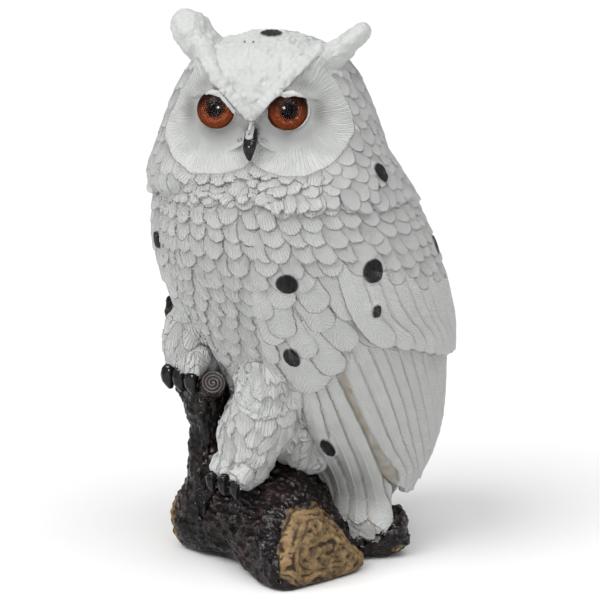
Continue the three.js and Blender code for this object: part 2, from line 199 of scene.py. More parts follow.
def mesh_arrays(obj):
    """Points in millimetres, faces and vertex normals of an object's mesh made of quads or triangles."""
    mesh = obj.data
    points = np.empty(len(mesh.vertices) * 3, np.float32)
    mesh.vertices.foreach_get("co", points)
    normals = np.empty(len(mesh.vertices) * 3, np.float32)
    mesh.vertices.foreach_get("normal", normals)
    corner = np.empty(len(mesh.loops), np.int32)
    mesh.loops.foreach_get("vertex_index", corner)
    faces = corner.reshape(len(mesh.polygons), -1)
    return points.reshape(-1, 3).astype(float) / MM, faces, normals.reshape(-1, 3)


def fused(parts, voxel, smooth):
    """One closed skin of even quads round everything in parts, each (points, faces), as arrays."""
    points = np.vstack([p for p, _ in parts])
    mesh = bpy.data.meshes.new("fused")
    faces, start = [], 0
    for p, f in parts:
        faces += (f + start).tolist()
        start += len(p)
    mesh.from_pydata((points * MM).tolist(), [], faces)
    obj = bpy.data.objects.new("fused", mesh)
    bpy.context.collection.objects.link(obj)
    remesh = obj.modifiers.new("even", "REMESH")
    remesh.mode = "VOXEL"
    remesh.voxel_size = voxel * MM
    relax = obj.modifiers.new("relax", "SMOOTH")
    relax.iterations = smooth
    relax.factor = 0.5
    made = bpy.data.meshes.new_from_object(obj.evaluated_get(bpy.context.evaluated_depsgraph_get()))
    bpy.data.objects.remove(obj)
    obj = bpy.data.objects.new("made", made)
    arrays = mesh_arrays(obj)
    bpy.data.objects.remove(obj)
    bpy.data.meshes.remove(made)
    return arrays


def node_part(name):
    """A CAD node's points in millimetres, and its triangles."""
    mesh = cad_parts[name].data
    points = np.array([v.co for v in mesh.vertices]) / MM
    mesh.calc_loop_triangles()
    return points, np.array([t.vertices for t in mesh.loop_triangles])


# ---- A smooth shell sampled from the frame -----------------------------------------------------
class Shell:
    """A surface round an axis, known by its radius at an angle from the breast (degrees, towards
    the owl's left) and a height. Rays at the CAD nodes give the radii, and a cubic B-spline through
    them takes out the facets."""

    STEP = 4.0
    REACH = 150.0

    def __init__(self, nodes, low, high, axis, sink=0.0):
        self.low, self.axis = low, axis
        tree = nodes_tree(*nodes)
        angles = np.arange(0, 360, self.STEP)
        levels = np.arange(low, high + self.STEP, self.STEP)
        radii = np.full((len(levels), len(angles)), np.nan)
        for i, level in enumerate(levels):
            for j, angle in enumerate(angles):
                start, out = (Vector(v) for v in self.line(angle, level))
                hit = tree.ray_cast(start + out * self.REACH, -out, self.REACH)
                if hit[0] is not None:
                    radii[i, j] = self.REACH - hit[3]
        self.radii = self.filled(radii) - sink

    def line(self, angle, level):
        """Where on the axis a radius starts, and which way it points."""
        turn = np.radians(angle)
        level = level + np.zeros_like(turn)
        zero = np.zeros_like(turn)
        out = np.stack([np.sin(turn), -np.cos(turn), zero], -1)
        return np.stack([zero, self.axis(level), level], -1), out

    @staticmethod
    def filled(radii):
        """Spreads the known radii into the gaps, a little further at each pass."""
        out = radii.copy()
        for _ in range(60):
            gap = ~np.isfinite(out)
            if not gap.any():
                break
            total, count = np.zeros_like(out), np.zeros_like(out)
            for di in (-1, 0, 1):
                for dj in (-1, 0, 1):
                    near = np.roll(out, dj, axis=1)
                    near = np.roll(near, di, axis=0)
                    if di:
                        near[-1 if di < 0 else 0] = np.nan
                    good = np.isfinite(near)
                    total[good] += near[good]
                    count[good] += 1
            fill = gap & (count > 0)
            out[fill] = total[fill] / count[fill]
        return out

    def radius(self, angle, z):
        """The B-spline's radius."""
        rows, columns = self.radii.shape
        u = np.asarray(angle, float) / self.STEP
        v = np.clip((np.asarray(z, float) - self.low) / self.STEP, 0, rows - 1.001)
        iu, iv = np.floor(u).astype(int), np.floor(v).astype(int)
        total = 0
        for di, wi in enumerate(self.weights(v - iv)):
            row = np.clip(iv + di - 1, 0, rows - 1)
            for dj, wj in enumerate(self.weights(u - iu)):
                total = total + wi * wj * self.radii[row, (iu + dj - 1) % columns]
        return total

    @staticmethod
    def weights(t):
        """The shares of four neighbours, at t of the way from the second to the third."""
        return (
            (1 - t) ** 3 / 6,
            (3 * t**3 - 6 * t**2 + 4) / 6,
            (-3 * t**3 + 3 * t**2 + 3 * t + 1) / 6,
            t**3 / 6,
        )

    def at(self, angle, z, raised=0.0):
        angle, z = np.broadcast_arrays(np.asarray(angle, float), np.asarray(z, float))
        start, out = self.line(angle, z)
        return start + out * (self.radius(angle, z) + raised)[..., None]

    def normal(self, angle, z):
        across = self.at(angle + 0.5, z) - self.at(angle - 0.5, z)
        up = self.at(angle, z + 0.5) - self.at(angle, z - 0.5)
        return unit(np.cross(across, up))


class Dome(Shell):
    """The same round a point, with an elevation in degrees in place of the height."""

    def line(self, angle, level):
        turn, rise = np.radians(angle), np.radians(level)
        flat = np.cos(rise)
        out = np.stack([np.sin(turn) * flat, -np.cos(turn) * flat, np.sin(rise) + 0 * turn], -1)
        return self.axis + np.zeros_like(out), out


def body_axis():
    """Where the wings are widest at each height gives the line up the middle of the body."""
    tree = nodes_tree("wing_left", "wing_right")
    heights = np.arange(50, 206, 12.0)
    middles = []
    for z in heights:
        widths = {}
        for y in np.arange(-70, 80, 3.0):
            left = tree.ray_cast(Vector((150, y, z)), Vector((-1, 0, 0)), 150)
            right = tree.ray_cast(Vector((-150, y, z)), Vector((1, 0, 0)), 150)
            if left[0] is not None and right[0] is not None:
                widths[y] = left[0].x - right[0].x
        best = max(widths.values())
        middles.append(np.mean([y for y, w in widths.items() if w > best - 3]))
    line = np.polynomial.Polynomial.fit(heights, middles, 3)
    return lambda z: line(np.clip(z, heights[0], heights[-1] + 14))


AXIS = body_axis()


# ---- The feather painter -----------------------------------------------------------------------
class Plumage:
    """Lays feathers on a surface as overlapping flaps, by how far each point stands off it."""

    def __init__(self, points, normals):
        self.points, self.normals = points, normals
        n = len(points)
        self.height, self.cover, self.wash, self.fleck, self.barb = (np.zeros(n) for _ in range(5))

    def flap(self, path, width, lift=(0.2, 2.0), tip=0.45, blunt=2.0, soft=0.45, tilt=0.0, crown=0.4,
             grooves=1.3, depth=0.16, slant=0.0, shaft=0.0, wash=0.5, root=0.6, phase=0.0, stain=0.0,
             ragged=0.35):
        """One feather along path, from its root to its tip.

        lift: how high it stands at its root and at its tip
        tip, blunt: the share of its length where it starts to round off, and how squarely
        soft, ragged: how wide its edge is, and how far the edge wanders
        tilt, crown: how much higher its left side and its middle are
        grooves, depth: the pitch and depth of its barbs, which fan out from the root
        slant, shaft: barbs at that many degrees to a shaft this high, instead of a fan
        root: its width at the root, as a share
        phase: shifts the barbs
        the wash and the stain: how much tan wash paint and painted shade go in the crease round it, and
        over it
        """
        path = np.asarray(path, float)
        steps = np.diff(path, axis=0)
        lengths = np.linalg.norm(steps, axis=1)
        length = lengths.sum()
        middle = (path.min(0) + path.max(0)) / 2
        reach = (path.max(0) - path.min(0)) / 2 + width * 0.75
        near = np.nonzero((np.abs(self.points - middle) < reach).all(axis=1))[0]
        if not len(near):
            return
        p, n = self.points[near], self.normals[near]
        best = np.full(len(p), np.inf)
        a, b = np.zeros(len(p)), np.zeros(len(p))
        start = 0.0
        for k, (origin, step, size) in enumerate(zip(path, steps, lengths)):
            ahead = step / size
            d = p - origin
            s = d @ ahead
            low = -np.inf if k == 0 else 0
            high = np.inf if k == len(steps) - 1 else size
            s_in = np.clip(s, low, high)
            off = d - s_in[:, None] * ahead
            side = unit(np.cross(n, ahead))
            gap = (off**2).sum(axis=1)
            closer = gap < best
            best[closer] = gap[closer]
            a[closer] = (start + s_in)[closer]
            b[closer] = (off * side).sum(axis=1)[closer]
            start += size
        t = a / length
        narrow = np.clip((t - tip) / (1 - tip), 0, 1) ** blunt
        taper = np.clip(root + (1 - root) * t / 0.4, root, 1)
        half = width / 2 * np.sqrt(np.clip(1 - narrow, 0, 1)) * taper
        inside = np.minimum(half - np.abs(b), np.minimum((1 - t) * length * 1.5, t * length + 0.3))
        inside = inside + ragged * noise(p / 1.9, 7)
        on = smoothstep(0, soft, inside) * (t > 0) * (t < 1) * (best < (width * 0.75) ** 2)
        share = b / (width / 2)
        h = lift[0] + (lift[1] - lift[0]) * np.clip(t, 0, 1) + tilt * share - crown * share**2
        if slant:
            lean = math.radians(slant)
            barb = (a * math.cos(lean) - np.abs(b) * math.sin(lean)) / grooves + 0.35 * noise(p / 6, 5)
            shown = np.abs(b) > 0.5
            h = h + shaft * bump(b, 0.5)
        else:
            barb = b / (0.35 + t) * 1.2 / grooves + phase + 0.3 * noise(p / 5, 5)
            shown = smoothstep(0.2, 0.6, t)
        h = h - depth * (0.5 + 0.5 * np.cos(2 * math.pi * barb)) * shown
        # Painted shade: tan just outside its edge, in the crease where it laps over what lies below.
        shade = bump(np.minimum(inside, 0), 0.9) * (inside < 0) * wash * (t > 0.2) * (t < 1.15)
        self.wash[near] = np.maximum(self.wash[near], shade) * (1 - on)
        self.height[near] = self.height[near] * (1 - on) + h * on
        self.fleck[near] *= 1 - on
        self.barb[near] = np.where(on > 0.3, barb, self.barb[near])
        self.wash[near] = np.maximum(self.wash[near], stain * on * (0.7 + 0.5 * noise(p / 4, 8)))
        self.cover[near] = np.maximum(self.cover[near], on)

    def spot(self, at, across, up, size, seed):
        """A raised black fleck with a ridged face, size = (half width, half height). The feathers
        under it are levelled."""
        d = self.points - at
        close = np.nonzero((d**2).sum(axis=1) < (max(size) * 1.8) ** 2)[0]
        d = d[close]
        x, y = d @ across / size[0], d @ up / size[1]
        r = np.hypot(x, y) * (1 + 0.08 * noise(np.stack([x * 1.5, y * 1.5, x * 0], -1), seed))
        on, bed = smoothstep(1.0, 0.86, r), smoothstep(1.3, 1.0, r)
        ridges = 0.5 * np.abs(np.sin(2.3 * x * size[0] / 2 + 1.5 * noise(d / 3, seed)))
        under = self.height[close]
        level = np.median(under[r < 1]) if (r < 1).any() else 0
        self.height[close] = under * (1 - bed) + level * bed + on * (1.3 - 0.5 * r**2 + ridges - 0.3)
        self.fleck[close] = np.maximum(self.fleck[close], on)
        self.wash[close] *= 1 - on

    def carved(self):
        return self.points + self.normals * self.height[:, None]


def jitter(amount):
    """The next random number, up to this amount either way."""
    return rng.uniform(-amount, amount)


def shingles(plumage, shell, rows, spacing, span, size, look, side=1, keep=None, heading=None):
    """Staggered rows of scallops, the lowest laid first, a spacing apart. span(z) gives the angles
    a row runs between, size(angle, z) the width and length of a feather, keep(angle, z) whether
    there is one, and heading(angle, z) how far its tip leans back, in degrees."""
    lift = look["lift"]
    for number, z in enumerate(rows):
        first, last = span(z)
        step = math.degrees(spacing / float(shell.radius((first + last) / 2 * side, z)))
        for k in range(int((last - first) / step) + 2):
            angle = first + (k + 0.5 * (number % 2)) * step + jitter(0.16) * step
            here = z + jitter(1.3)
            if keep and not keep(angle, here):
                continue
            width, length = size(angle, here)
            lean = math.radians((heading(angle, here) if heading else 0) + jitter(9))
            turn = math.degrees(length * math.sin(lean) / float(shell.radius(angle * side, here)))
            drop = length * math.cos(lean)
            ends = [(angle, here + drop * 0.62), (angle + turn, here - drop * 0.38)]
            path = [shell.at(np.float64(side * u), np.float64(v)) for u, v in ends]
            varied = dict(look, lift=(lift[0], lift[1] * (1 + jitter(0.16))), tilt=jitter(0.35))
            varied["phase"] = jitter(3)
            plumage.flap(path, width * (1 + jitter(0.1)), **varied)


def curve(keys, t):
    """A reading at t of keys (t, value), sorted by t, with straight lines between them."""
    x, y = np.array(keys, float).T
    return np.interp(t, x, y)


def bent_path(shell, keys, side, pieces=10):
    """Points on the shell along a smooth line through keys (angle, height), three or more."""
    t = np.linspace(0, len(keys) - 1, pieces)
    k = np.arange(len(keys))
    angle, z = (np.polynomial.Polynomial.fit(k, v, len(keys) - 1)(t) for v in np.array(keys, float).T)
    return shell.at(side * angle, z)


# How each kind of feather is carved, in the terms of Plumage.flap.
LOOKS = {
    "underlay": dict(root=1, wash=0, depth=0.1),
    "flight": dict(lift=(0.9, 2.1), tip=0.88, blunt=1.8, grooves=1.8, depth=0.42, slant=52, shaft=0.3,
                   wash=0.5, root=0.9),
    "front covert": dict(lift=(1.4, 3.1), tip=0.76, blunt=2.6, crown=0.6, grooves=1.75, depth=0.4,
                         slant=40, shaft=0.12, wash=0.16, root=0.95),
    "covert": dict(lift=(2.3, 6.0), tip=0.8, blunt=2.2, crown=0.3, grooves=1.9, depth=0.3, slant=42,
                   shaft=0.25, wash=0.5, root=0.95),
    "shoulder": dict(lift=(1.5, 3.5), tip=0.5, crown=0.4, grooves=1.65, depth=0.5, wash=0.22, ragged=0.5),
    "belly": dict(lift=(0.2, 2.8), tip=0.3, blunt=1.5, crown=0.5, grooves=1.7, depth=0.6, wash=0.2,
                  ragged=1.5),
    "breast": dict(lift=(0.2, 2.4), tip=0.55, crown=0.5, grooves=1.6, depth=0.62, wash=0.25, ragged=0.6),
    "back": dict(lift=(0.2, 2.4), tip=0.5, crown=0.5, grooves=1.4, depth=0.2, wash=0.35),
    "head": dict(lift=(0.1, 1.0), tip=0.5, crown=0.3, grooves=1.65, depth=0.3, wash=0.1, ragged=0.5),
    "chin": dict(lift=(0.2, 2.3), tip=0.35, crown=0.5, grooves=1.7, depth=0.55, wash=0.35, ragged=1.6),
    "leg": dict(lift=(0.0, 2.2), tip=0.3, blunt=1.5, soft=2.2, crown=0.8, grooves=1.8, depth=0.62,
                wash=0.08, ragged=0.8),
    "tail": dict(lift=(0.2, 1.6), tip=0.7, slant=45, grooves=1.6, depth=0.2),
}


# ---- Materials ---------------------------------------------------------------------------------
class Paint:
    """A new node material. Each method gives a socket to plug into another one or the shader."""

    def __init__(self, name, constants=()):
        self.made = bpy.data.materials.new(name)
        self.made.use_nodes = True
        self.nodes, self.links = self.made.node_tree.nodes, self.made.node_tree.links
        self.shader = self.nodes["Principled BSDF"]
        for label, value in dict(constants).items():
            self.shader.inputs[label].default_value = value

    def node(self, kind, inputs, output=0, **settings):
        """A new node's output. Its inputs are sockets or plain values."""
        made = self.nodes.new(kind)
        for label, value in settings.items():
            setattr(made, label, value)
        for slot, value in inputs.items():
            if isinstance(value, bpy.types.NodeSocket):
                self.links.new(value, made.inputs[slot])
            else:
                made.inputs[slot].default_value = value
        return made.outputs[output]

    def mix(self, factor, first, second):
        """From the first colour to the second; each is a socket or (red, green, blue)."""
        first, second = (c if isinstance(c, bpy.types.NodeSocket) else (*c, 1) for c in (first, second))
        return self.node("ShaderNodeMix", {0: factor, 6: first, 7: second}, 2, data_type="RGBA")

    def field(self, name):
        """One of the numbers that the mesh keeps for each vertex."""
        return self.node("ShaderNodeAttribute", {}, "Fac", attribute_name=name)

    def grain(self, scale, detail=3.0, stretch=(1, 1, 1)):
        place = self.node("ShaderNodeTexCoord", {}, "Object")
        shape = self.node("ShaderNodeMapping", {"Vector": place, "Scale": stretch}, "Vector")
        return self.node("ShaderNodeTexNoise", {"Vector": shape, "Scale": scale, "Detail": detail}, "Fac")

    def ramp(self, value, low, high):
        """From 0 to 1 as the value goes from low to high."""
        inputs = {"Value": value, "From Min": low, "From Max": high}
        return self.node("ShaderNodeMapRange", inputs, "Result")

    def between(self, value, first, last):
        """From first to last as the value goes from 0 to 1."""
        return self.node("ShaderNodeMapRange", {"Value": value, "To Min": first, "To Max": last}, "Result")

    def maths(self, operation, *values):
        return self.node("ShaderNodeMath", dict(enumerate(values)), operation=operation)

    def plug(self, label, socket):
        self.links.new(socket, self.shader.inputs[label])

    def relief(self, height, distance, strength=0.6):
        """Fine relief, the distance in millimetres."""
        inputs = {"Height": height, "Distance": distance * MM, "Strength": strength}
        self.plug("Normal", self.node("ShaderNodeBump", inputs, "Normal"))


WHITE, TAN, SOOT, BLACK = (0.58, 0.59, 0.58), (0.36, 0.29, 0.20), (0.10, 0.095, 0.09), (0.006, 0.006, 0.007)
SHADED_WHITE = tuple(0.94 * c for c in WHITE)
SOFT_BLACK = (0.02, 0.018, 0.018)
BARK, RED_BARK, RUBBED_BARK = (0.002, 0.0016, 0.0016), (0.014, 0.005, 0.0045), (0.15, 0.13, 0.125)
END_GRAIN, DARK_END, RING = (0.30, 0.20, 0.092), (0.10, 0.06, 0.027), (0.035, 0.02, 0.01)
GLASS, CLEAR = (0.97, 0.95, 0.93), (1, 1, 1)
IRIS, IRIS_STREAK, IRIS_RIM = (0.18, 0.043, 0.015), (0.10, 0.022, 0.008), (0.05, 0.012, 0.005)
IRIS_SHADE, PUPIL = (0.02, 0.008, 0.005), (0.003, 0.0025, 0.0025)
FELT, FELT_NAP = (0.012, 0.012, 0.013), (0.045, 0.045, 0.048)
STEEL, BRIGHT_STEEL = (0.45, 0.46, 0.47), (0.62, 0.63, 0.65)
PAPER = (0.93, 0.93, 0.93)
FINE_BARBS = 2  # to each carved one


def white_paint():
    """Satin white over carved plumage: tan wash paint and painted shade in the creases, airbrushed grey and
    painted shade round the eyes, black flecks.
    """
    paint = Paint("white_paint")
    base = paint.mix(paint.ramp(paint.grain(90, 4), 0.35, 0.75), WHITE, SHADED_WHITE)
    # Tan wash paint, and painted shade in the creases and under the facial discs.
    base = paint.mix(paint.field("wash"), base, TAN)
    # Grey round the eyes: airbrushed paint, and painted shade above the lids.
    base = paint.mix(paint.field("soot"), base, SOOT)
    fleck = paint.field("fleck")
    paint.plug("Base Color", paint.mix(fleck, base, BLACK))
    paint.plug("Roughness", paint.between(fleck, 0.5, 0.22))
    paint.plug("Specular IOR Level", paint.between(fleck, 0.2, 0.3))
    wave = paint.maths("SINE", paint.maths("MULTIPLY", paint.field("barb"), 2 * math.pi * FINE_BARBS))
    paint.relief(paint.maths("MULTIPLY_ADD", wave, 0.35, paint.grain(1400, 4)), 0.5, 0.9)
    return paint.made


def black_paint():
    paint = Paint("black_paint", {"Roughness": 0.2, "Specular IOR Level": 0.3})
    paint.plug("Base Color", paint.mix(paint.ramp(paint.grain(300), 0.4, 0.7), BLACK, SOFT_BLACK))
    paint.relief(paint.grain(700, 3, (1, 1, 0.25)), 0.35)
    return paint.made


def bark_paint():
    """Glossy black-brown bark; the field `sawn` turns it to dull tan end grain with dark rings."""
    paint = Paint("bark_paint", {"Specular IOR Level": 0.22})
    dark = paint.mix(paint.ramp(paint.grain(55, 5), 0.42, 0.66), BARK, RED_BARK)
    # Paler where rubbed, on the knot's spiral, and in painted highlights on the crests that face up.
    dark = paint.mix(paint.field("worn"), dark, RUBBED_BARK)
    end = paint.mix(paint.ramp(paint.grain(230, 6), 0.38, 0.66), END_GRAIN, DARK_END)
    end = paint.mix(paint.field("ring"), end, RING)
    sawn = paint.field("sawn")
    paint.plug("Base Color", paint.mix(sawn, dark, end))
    paint.plug("Roughness", paint.between(sawn, 0.15, 0.6))
    paint.relief(paint.grain(420, 6), 0.9, 0.9)
    return paint.made


def eye_glass():
    """Just rough enough to catch the glint of a lamp."""
    paint = Paint("eye_glass", {"Roughness": 0.12, "Transmission Weight": 1, "IOR": 1.13})
    paint.plug("Base Color", paint.mix(paint.grain(200), GLASS, CLEAR))
    return paint.made


def iris_paint():
    """Orange-brown round a wide soft pupil, darker above, with fine streaks."""
    paint = Paint("iris_paint", {"Roughness": 0.8, "Specular IOR Level": 0})
    brown = paint.mix(paint.ramp(paint.grain(900, 3), 0.35, 0.7), IRIS, IRIS_STREAK)
    share = paint.field("share")
    base = paint.mix(paint.ramp(share, 0.9, 1.0), brown, IRIS_RIM)
    # Painted shade: darker towards the top, as under the lid's shadow.
    base = paint.mix(paint.ramp(paint.field("high"), -0.3, 0.35), base, IRIS_SHADE)
    paint.plug("Base Color", paint.mix(paint.ramp(share, 0.36, 0.72), PUPIL, base))
    return paint.made


def felt():
    paint = Paint("felt", {"Roughness": 0.95})
    paint.plug("Base Color", paint.mix(paint.grain(900, 4), FELT, FELT_NAP))
    paint.relief(paint.grain(1800, 4), 0.4)
    return paint.made


def steel_pin():
    paint = Paint("steel_pin", {"Roughness": 0.35, "Metallic": 1})
    paint.plug("Base Color", paint.mix(paint.grain(500, 3, (1, 1, 0.05)), STEEL, BRIGHT_STEEL))
    return paint.made


MAKERS = (white_paint, black_paint, bark_paint, eye_glass, iris_paint, felt, steel_pin)
MATERIALS = {maker.__name__: maker() for maker in MAKERS}


def white_piece(name, plumage, faces, replaced, soot=None):
    """A carved skin in white paint."""
    build(name, plumage.carved(), faces, replaced, wash=np.clip(plumage.wash, 0, 1), fleck=plumage.fleck,
          barb=plumage.barb, soot=np.zeros(len(plumage.points)) if soot is None else soot)


# ---- Wings -------------------------------------------------------------------------------------
PITCH = 0.5  # spacing of the points that carry the carving

# Flight feathers of the left wing, front to back: the line of the shaft from root to tip, as
# (angle, height), and the width.
FLIGHT = [
    ([(28, 118), (24, 90), (17, 58), (42, 23)], 9.5),
    ([(35, 118), (36, 80), (40, 50), (65, 11)], 12),
    ([(40, 120), (46, 83), (57, 48), (78, 13)], 11.5),
    ([(46, 124), (53, 90), (67, 53), (86, 19)], 12),
    ([(51, 124), (58, 89), (68, 67), (84, 46)], 9),
    ([(57, 126), (65, 90), (74, 67), (89, 45)], 10.5),
    ([(64, 128), (72, 90), (80, 67), (98, 41)], 10.5),
    ([(70, 129), (78, 90), (87, 64), (108, 36)], 10.5),
    ([(76, 130), (84, 88), (95, 62), (117, 35)], 10.5),
    ([(82, 130), (91, 86), (104, 62), (124, 41)], 10.5),
    ([(88, 130), (98, 88), (112, 65), (131, 49)], 10.5),
    ([(95, 130), (106, 90), (120, 70), (138, 56)], 10.5),
    ([(102, 130), (114, 92), (128, 75), (144, 63)], 10.5),
    ([(110, 130), (122, 95), (136, 80), (151, 69)], 10.5),
    ([(120, 130), (132, 99), (145, 85), (157, 75)], 10.5),
    ([(131, 130), (143, 103), (153, 91), (163, 81)], 10.5),
    ([(143, 130), (154, 107), (162, 96), (169, 87)], 10.5),
    ([(156, 130), (164, 110), (170, 100), (175, 91)], 10.5),
]
STAINED = 4  # the feather in the deep tan groove behind the fourth
# Greater coverts, front to back.
COVERTS = [
    ([(66, 184), (66, 160), (69, 148), (76, 136)], 12),
    ([(72, 184), (73, 156), (76, 145), (85, 133)], 10.5),
    ([(78, 184), (80, 155), (84, 143), (91, 130)], 10),
    ([(85, 182), (87, 153), (91, 140), (97, 127)], 10),
    ([(92, 180), (93, 152), (97, 138), (103, 124)], 10),
    ([(98, 178), (99, 150), (103, 136), (109, 122)], 10),
    ([(104, 176), (106, 148), (110, 134), (116, 121)], 10),
    ([(111, 174), (114, 147), (118, 133), (124, 120)], 10),
    ([(120, 172), (124, 146), (128, 132), (133, 120)], 11),
    ([(130, 170), (134, 146), (138, 132), (143, 120)], 11),
    ([(141, 168), (145, 146), (149, 132), (153, 120)], 11),
    ([(152, 166), (156, 146), (160, 132), (164, 120)], 11),
    ([(163, 164), (167, 146), (170, 132), (173, 120)], 11),
]
# The rounded feathers in front of them, lowest first.
FRONT_COVERTS = [
    ([(16, 128), (17, 116), (20, 104)], 12),
    ([(24, 136), (25, 124), (27, 113)], 13),
    ([(32, 138), (36, 124), (42, 110)], 21),
    ([(20, 152), (22, 138), (23, 124)], 13),
    ([(43, 152), (47, 136), (53, 121)], 14),
    ([(36, 154), (39, 142), (43, 131)], 12),
    ([(50, 163), (54, 149), (61, 136)], 12.5),
    ([(28, 160), (28, 148), (29, 137)], 13),
    ([(44, 170), (48, 158), (52, 147)], 13),
    ([(35, 168), (34, 155), (34, 142)], 13.5),
    ([(57, 182), (59, 168), (64, 153)], 12.5),
    ([(26, 178), (27, 165), (27, 151)], 12.5),
    ([(45, 182), (48, 170), (52, 158)], 12.5),
    ([(36, 182), (37, 170), (38, 159)], 12.5),
]
# There are shoulder scallops above this line of (angle, height).
SHOULDER_FLOOR = [(20, 170), (34, 171), (44, 173), (56, 182), (66, 181), (80, 176), (98, 168), (130, 163),
                  (175, 158)]
# The front margin of the wings, as (height, angle).
WING_FRONT = [(40, 8), (57, 10), (84, 22), (106, 22), (131, 18), (150, 19), (166, 23), (185, 28), (199, 33),
              (216, 42)]
WING_HEIGHTS, WING_ANGLES = (3, 219), (-6, 182)  # what the carving's grid covers
WING_RADIUS = 76  # about the widest
PLATE = 2.4  # how thick the feathered plate is, inwards
MARGIN_CURL = 5.5  # how far the front margin curls in towards the breast, and from how far back
TOP_DIVE = 3.5  # how far the top edge runs in under the head
OVER_BRANCH = 9.5  # how far the left wing's tips stand out to clear the branch
RIGHT_WING_BACK = 6  # the right wing starts this many degrees further back

# Flecks on the left wing and the right: angle, height, half width, half height.
LEFT_FLECKS = [(41, 172, 6.3, 5.6), (76, 177, 6.4, 6.8), (72, 156, 2.6, 3.6), (34, 129, 4.8, 6.8),
               (40, 71, 4.6, 9), (128, 180, 5, 6), (150, 140, 4, 5)]
RIGHT_FLECKS = [(33, 193, 4, 5), (36, 183, 3.6, 5), (75, 165, 5, 6), (120, 185, 5.5, 5), (70, 120, 4, 5)]


def wing_feathers(plumage, line, side):
    """Lays all but the shoulder's feathers. line(keys, root) is a shaft, drawn out by root at its root."""
    plain = LOOKS["underlay"]
    for keys, width in reversed(FLIGHT):
        plumage.flap(line(keys, 24), width * 1.6, lift=(0, 0.2), tip=0.8, **plain)
    for number in reversed(range(len(FLIGHT))):
        keys, width = FLIGHT[number]
        look = dict(LOOKS["flight"], crown=0.9 if number < STAINED else 0.3)
        if number == STAINED:
            # This feather is tinted tan, with painted shade darkening it as the deep groove's shade.
            look.update(lift=(-1.8, -1.4), stain=0.75)
        plumage.flap(line(keys, 22), width * (1 + jitter(0.04)), tilt=1.1 * side, **look)
    for keys, width in FRONT_COVERTS + COVERTS[:2]:
        plumage.flap(line(keys), width * 1.7, lift=(1.0, 2.0), tip=0.72, soft=1.2, **plain)
    for keys, width in FRONT_COVERTS:
        plumage.flap(line(keys), width * 1.16, tilt=jitter(0.5), **LOOKS["front covert"])
    for keys, width in reversed(COVERTS):
        plumage.flap(line(keys), width * (1 + jitter(0.04)), tilt=0.9 * side, **LOOKS["covert"])


def wing(side, name, flecks):
    """One wing, side 1 for the left and -1 for the right. Its angles grow towards its back."""
    shell = Shell([f"wing_{name}"], low=2, high=222, axis=AXIS, sink=2.6)
    back = 0 if side > 0 else RIGHT_WING_BACK
    rows = np.arange(*WING_HEIGHTS, PITCH)
    angles = np.arange(*WING_ANGLES, math.degrees(PITCH / WING_RADIUS))
    angle, z = (g.ravel() for g in np.meshgrid(angles, rows))
    points, normals = shell.at(side * angle, z), shell.normal(side * angle, z)
    front = curve(WING_FRONT, z) + back
    margin = np.radians(angle - front) * shell.radius(side * angle, z)
    curl = MARGIN_CURL * np.exp(-np.clip(margin, 0, None) / MARGIN_CURL) * (margin < 30) * (z > 60)
    points = points - normals * curl[:, None]
    points = points - normals * (TOP_DIVE * smoothstep(208, 219, z))[:, None]
    if side > 0:
        clear = OVER_BRANCH * smoothstep(38, 22, z) * smoothstep(98, 80, angle)
        points = points + normals * clear[:, None]
    plumage = Plumage(points, normals)
    whole = smoothstep(5, 8, margin) * smoothstep(122, 128, z)
    whole = whole * smoothstep(176, 172, angle) * smoothstep(210, 206, z)
    plumage.cover[:] = whole
    plumage.height[:] = 1.2 * whole

    def line(keys, root=0.0):
        path = bent_path(shell, [(u + back * (1 - u / 175), v) for u, v in keys], side)
        return np.vstack([path[0] + unit(path[0] - path[1]) * root, path]) if root else path

    wing_feathers(plumage, line, side)
    floor = [(u + back, v) for u, v in SHOULDER_FLOOR]
    shingles(
        plumage, shell, rows=np.arange(160, 226, 7.4), spacing=11.0,
        span=lambda z: (float(curve(WING_FRONT, z)) + back + 3, 178), size=lambda u, v: (13.2, 15.5),
        look=LOOKS["shoulder"], side=side, keep=lambda u, v: v > curve(floor, u),
        heading=lambda u, v: 6 + 0.12 * u,
    )
    for k, (u, v, half_width, half_height) in enumerate(flecks):
        place = np.float64(side * u), np.float64(v)
        n = shell.normal(*place)
        up = unit(np.array([0, 0, 1.0]) - n * n[2])
        plumage.spot(shell.at(*place, 2.0), np.cross(up, n), up, (half_width, half_height), 31 + k)

    faces = grid_faces(len(rows), len(angles))
    if side < 0:
        faces = faces[:, ::-1]
    outer, faces, (inner, *fields) = kept(
        plumage.carved(), faces, plumage.cover > 0.5,
        points - normals * PLATE, plumage.wash, plumage.fleck, plumage.barb,
    )
    points, faces, (wash, fleck, barb) = thickened(evened_rim(outer, faces), inner, faces, *fields)
    build(f"wing_{name}_feathers", points, faces, [f"wing_{name}"],
          wash=wash, fleck=fleck, barb=barb, soot=np.zeros(len(points)))


wing(1, "left", LEFT_FLECKS)
wing(-1, "right", RIGHT_FLECKS)


# ---- Breast, belly and back --------------------------------------------------------------------
BREAST_RADIUS = 66
UNDER_WINGS, UNDER_NAPE = 3.2, 8  # how far it is sunk to stay clear of the feathers above it


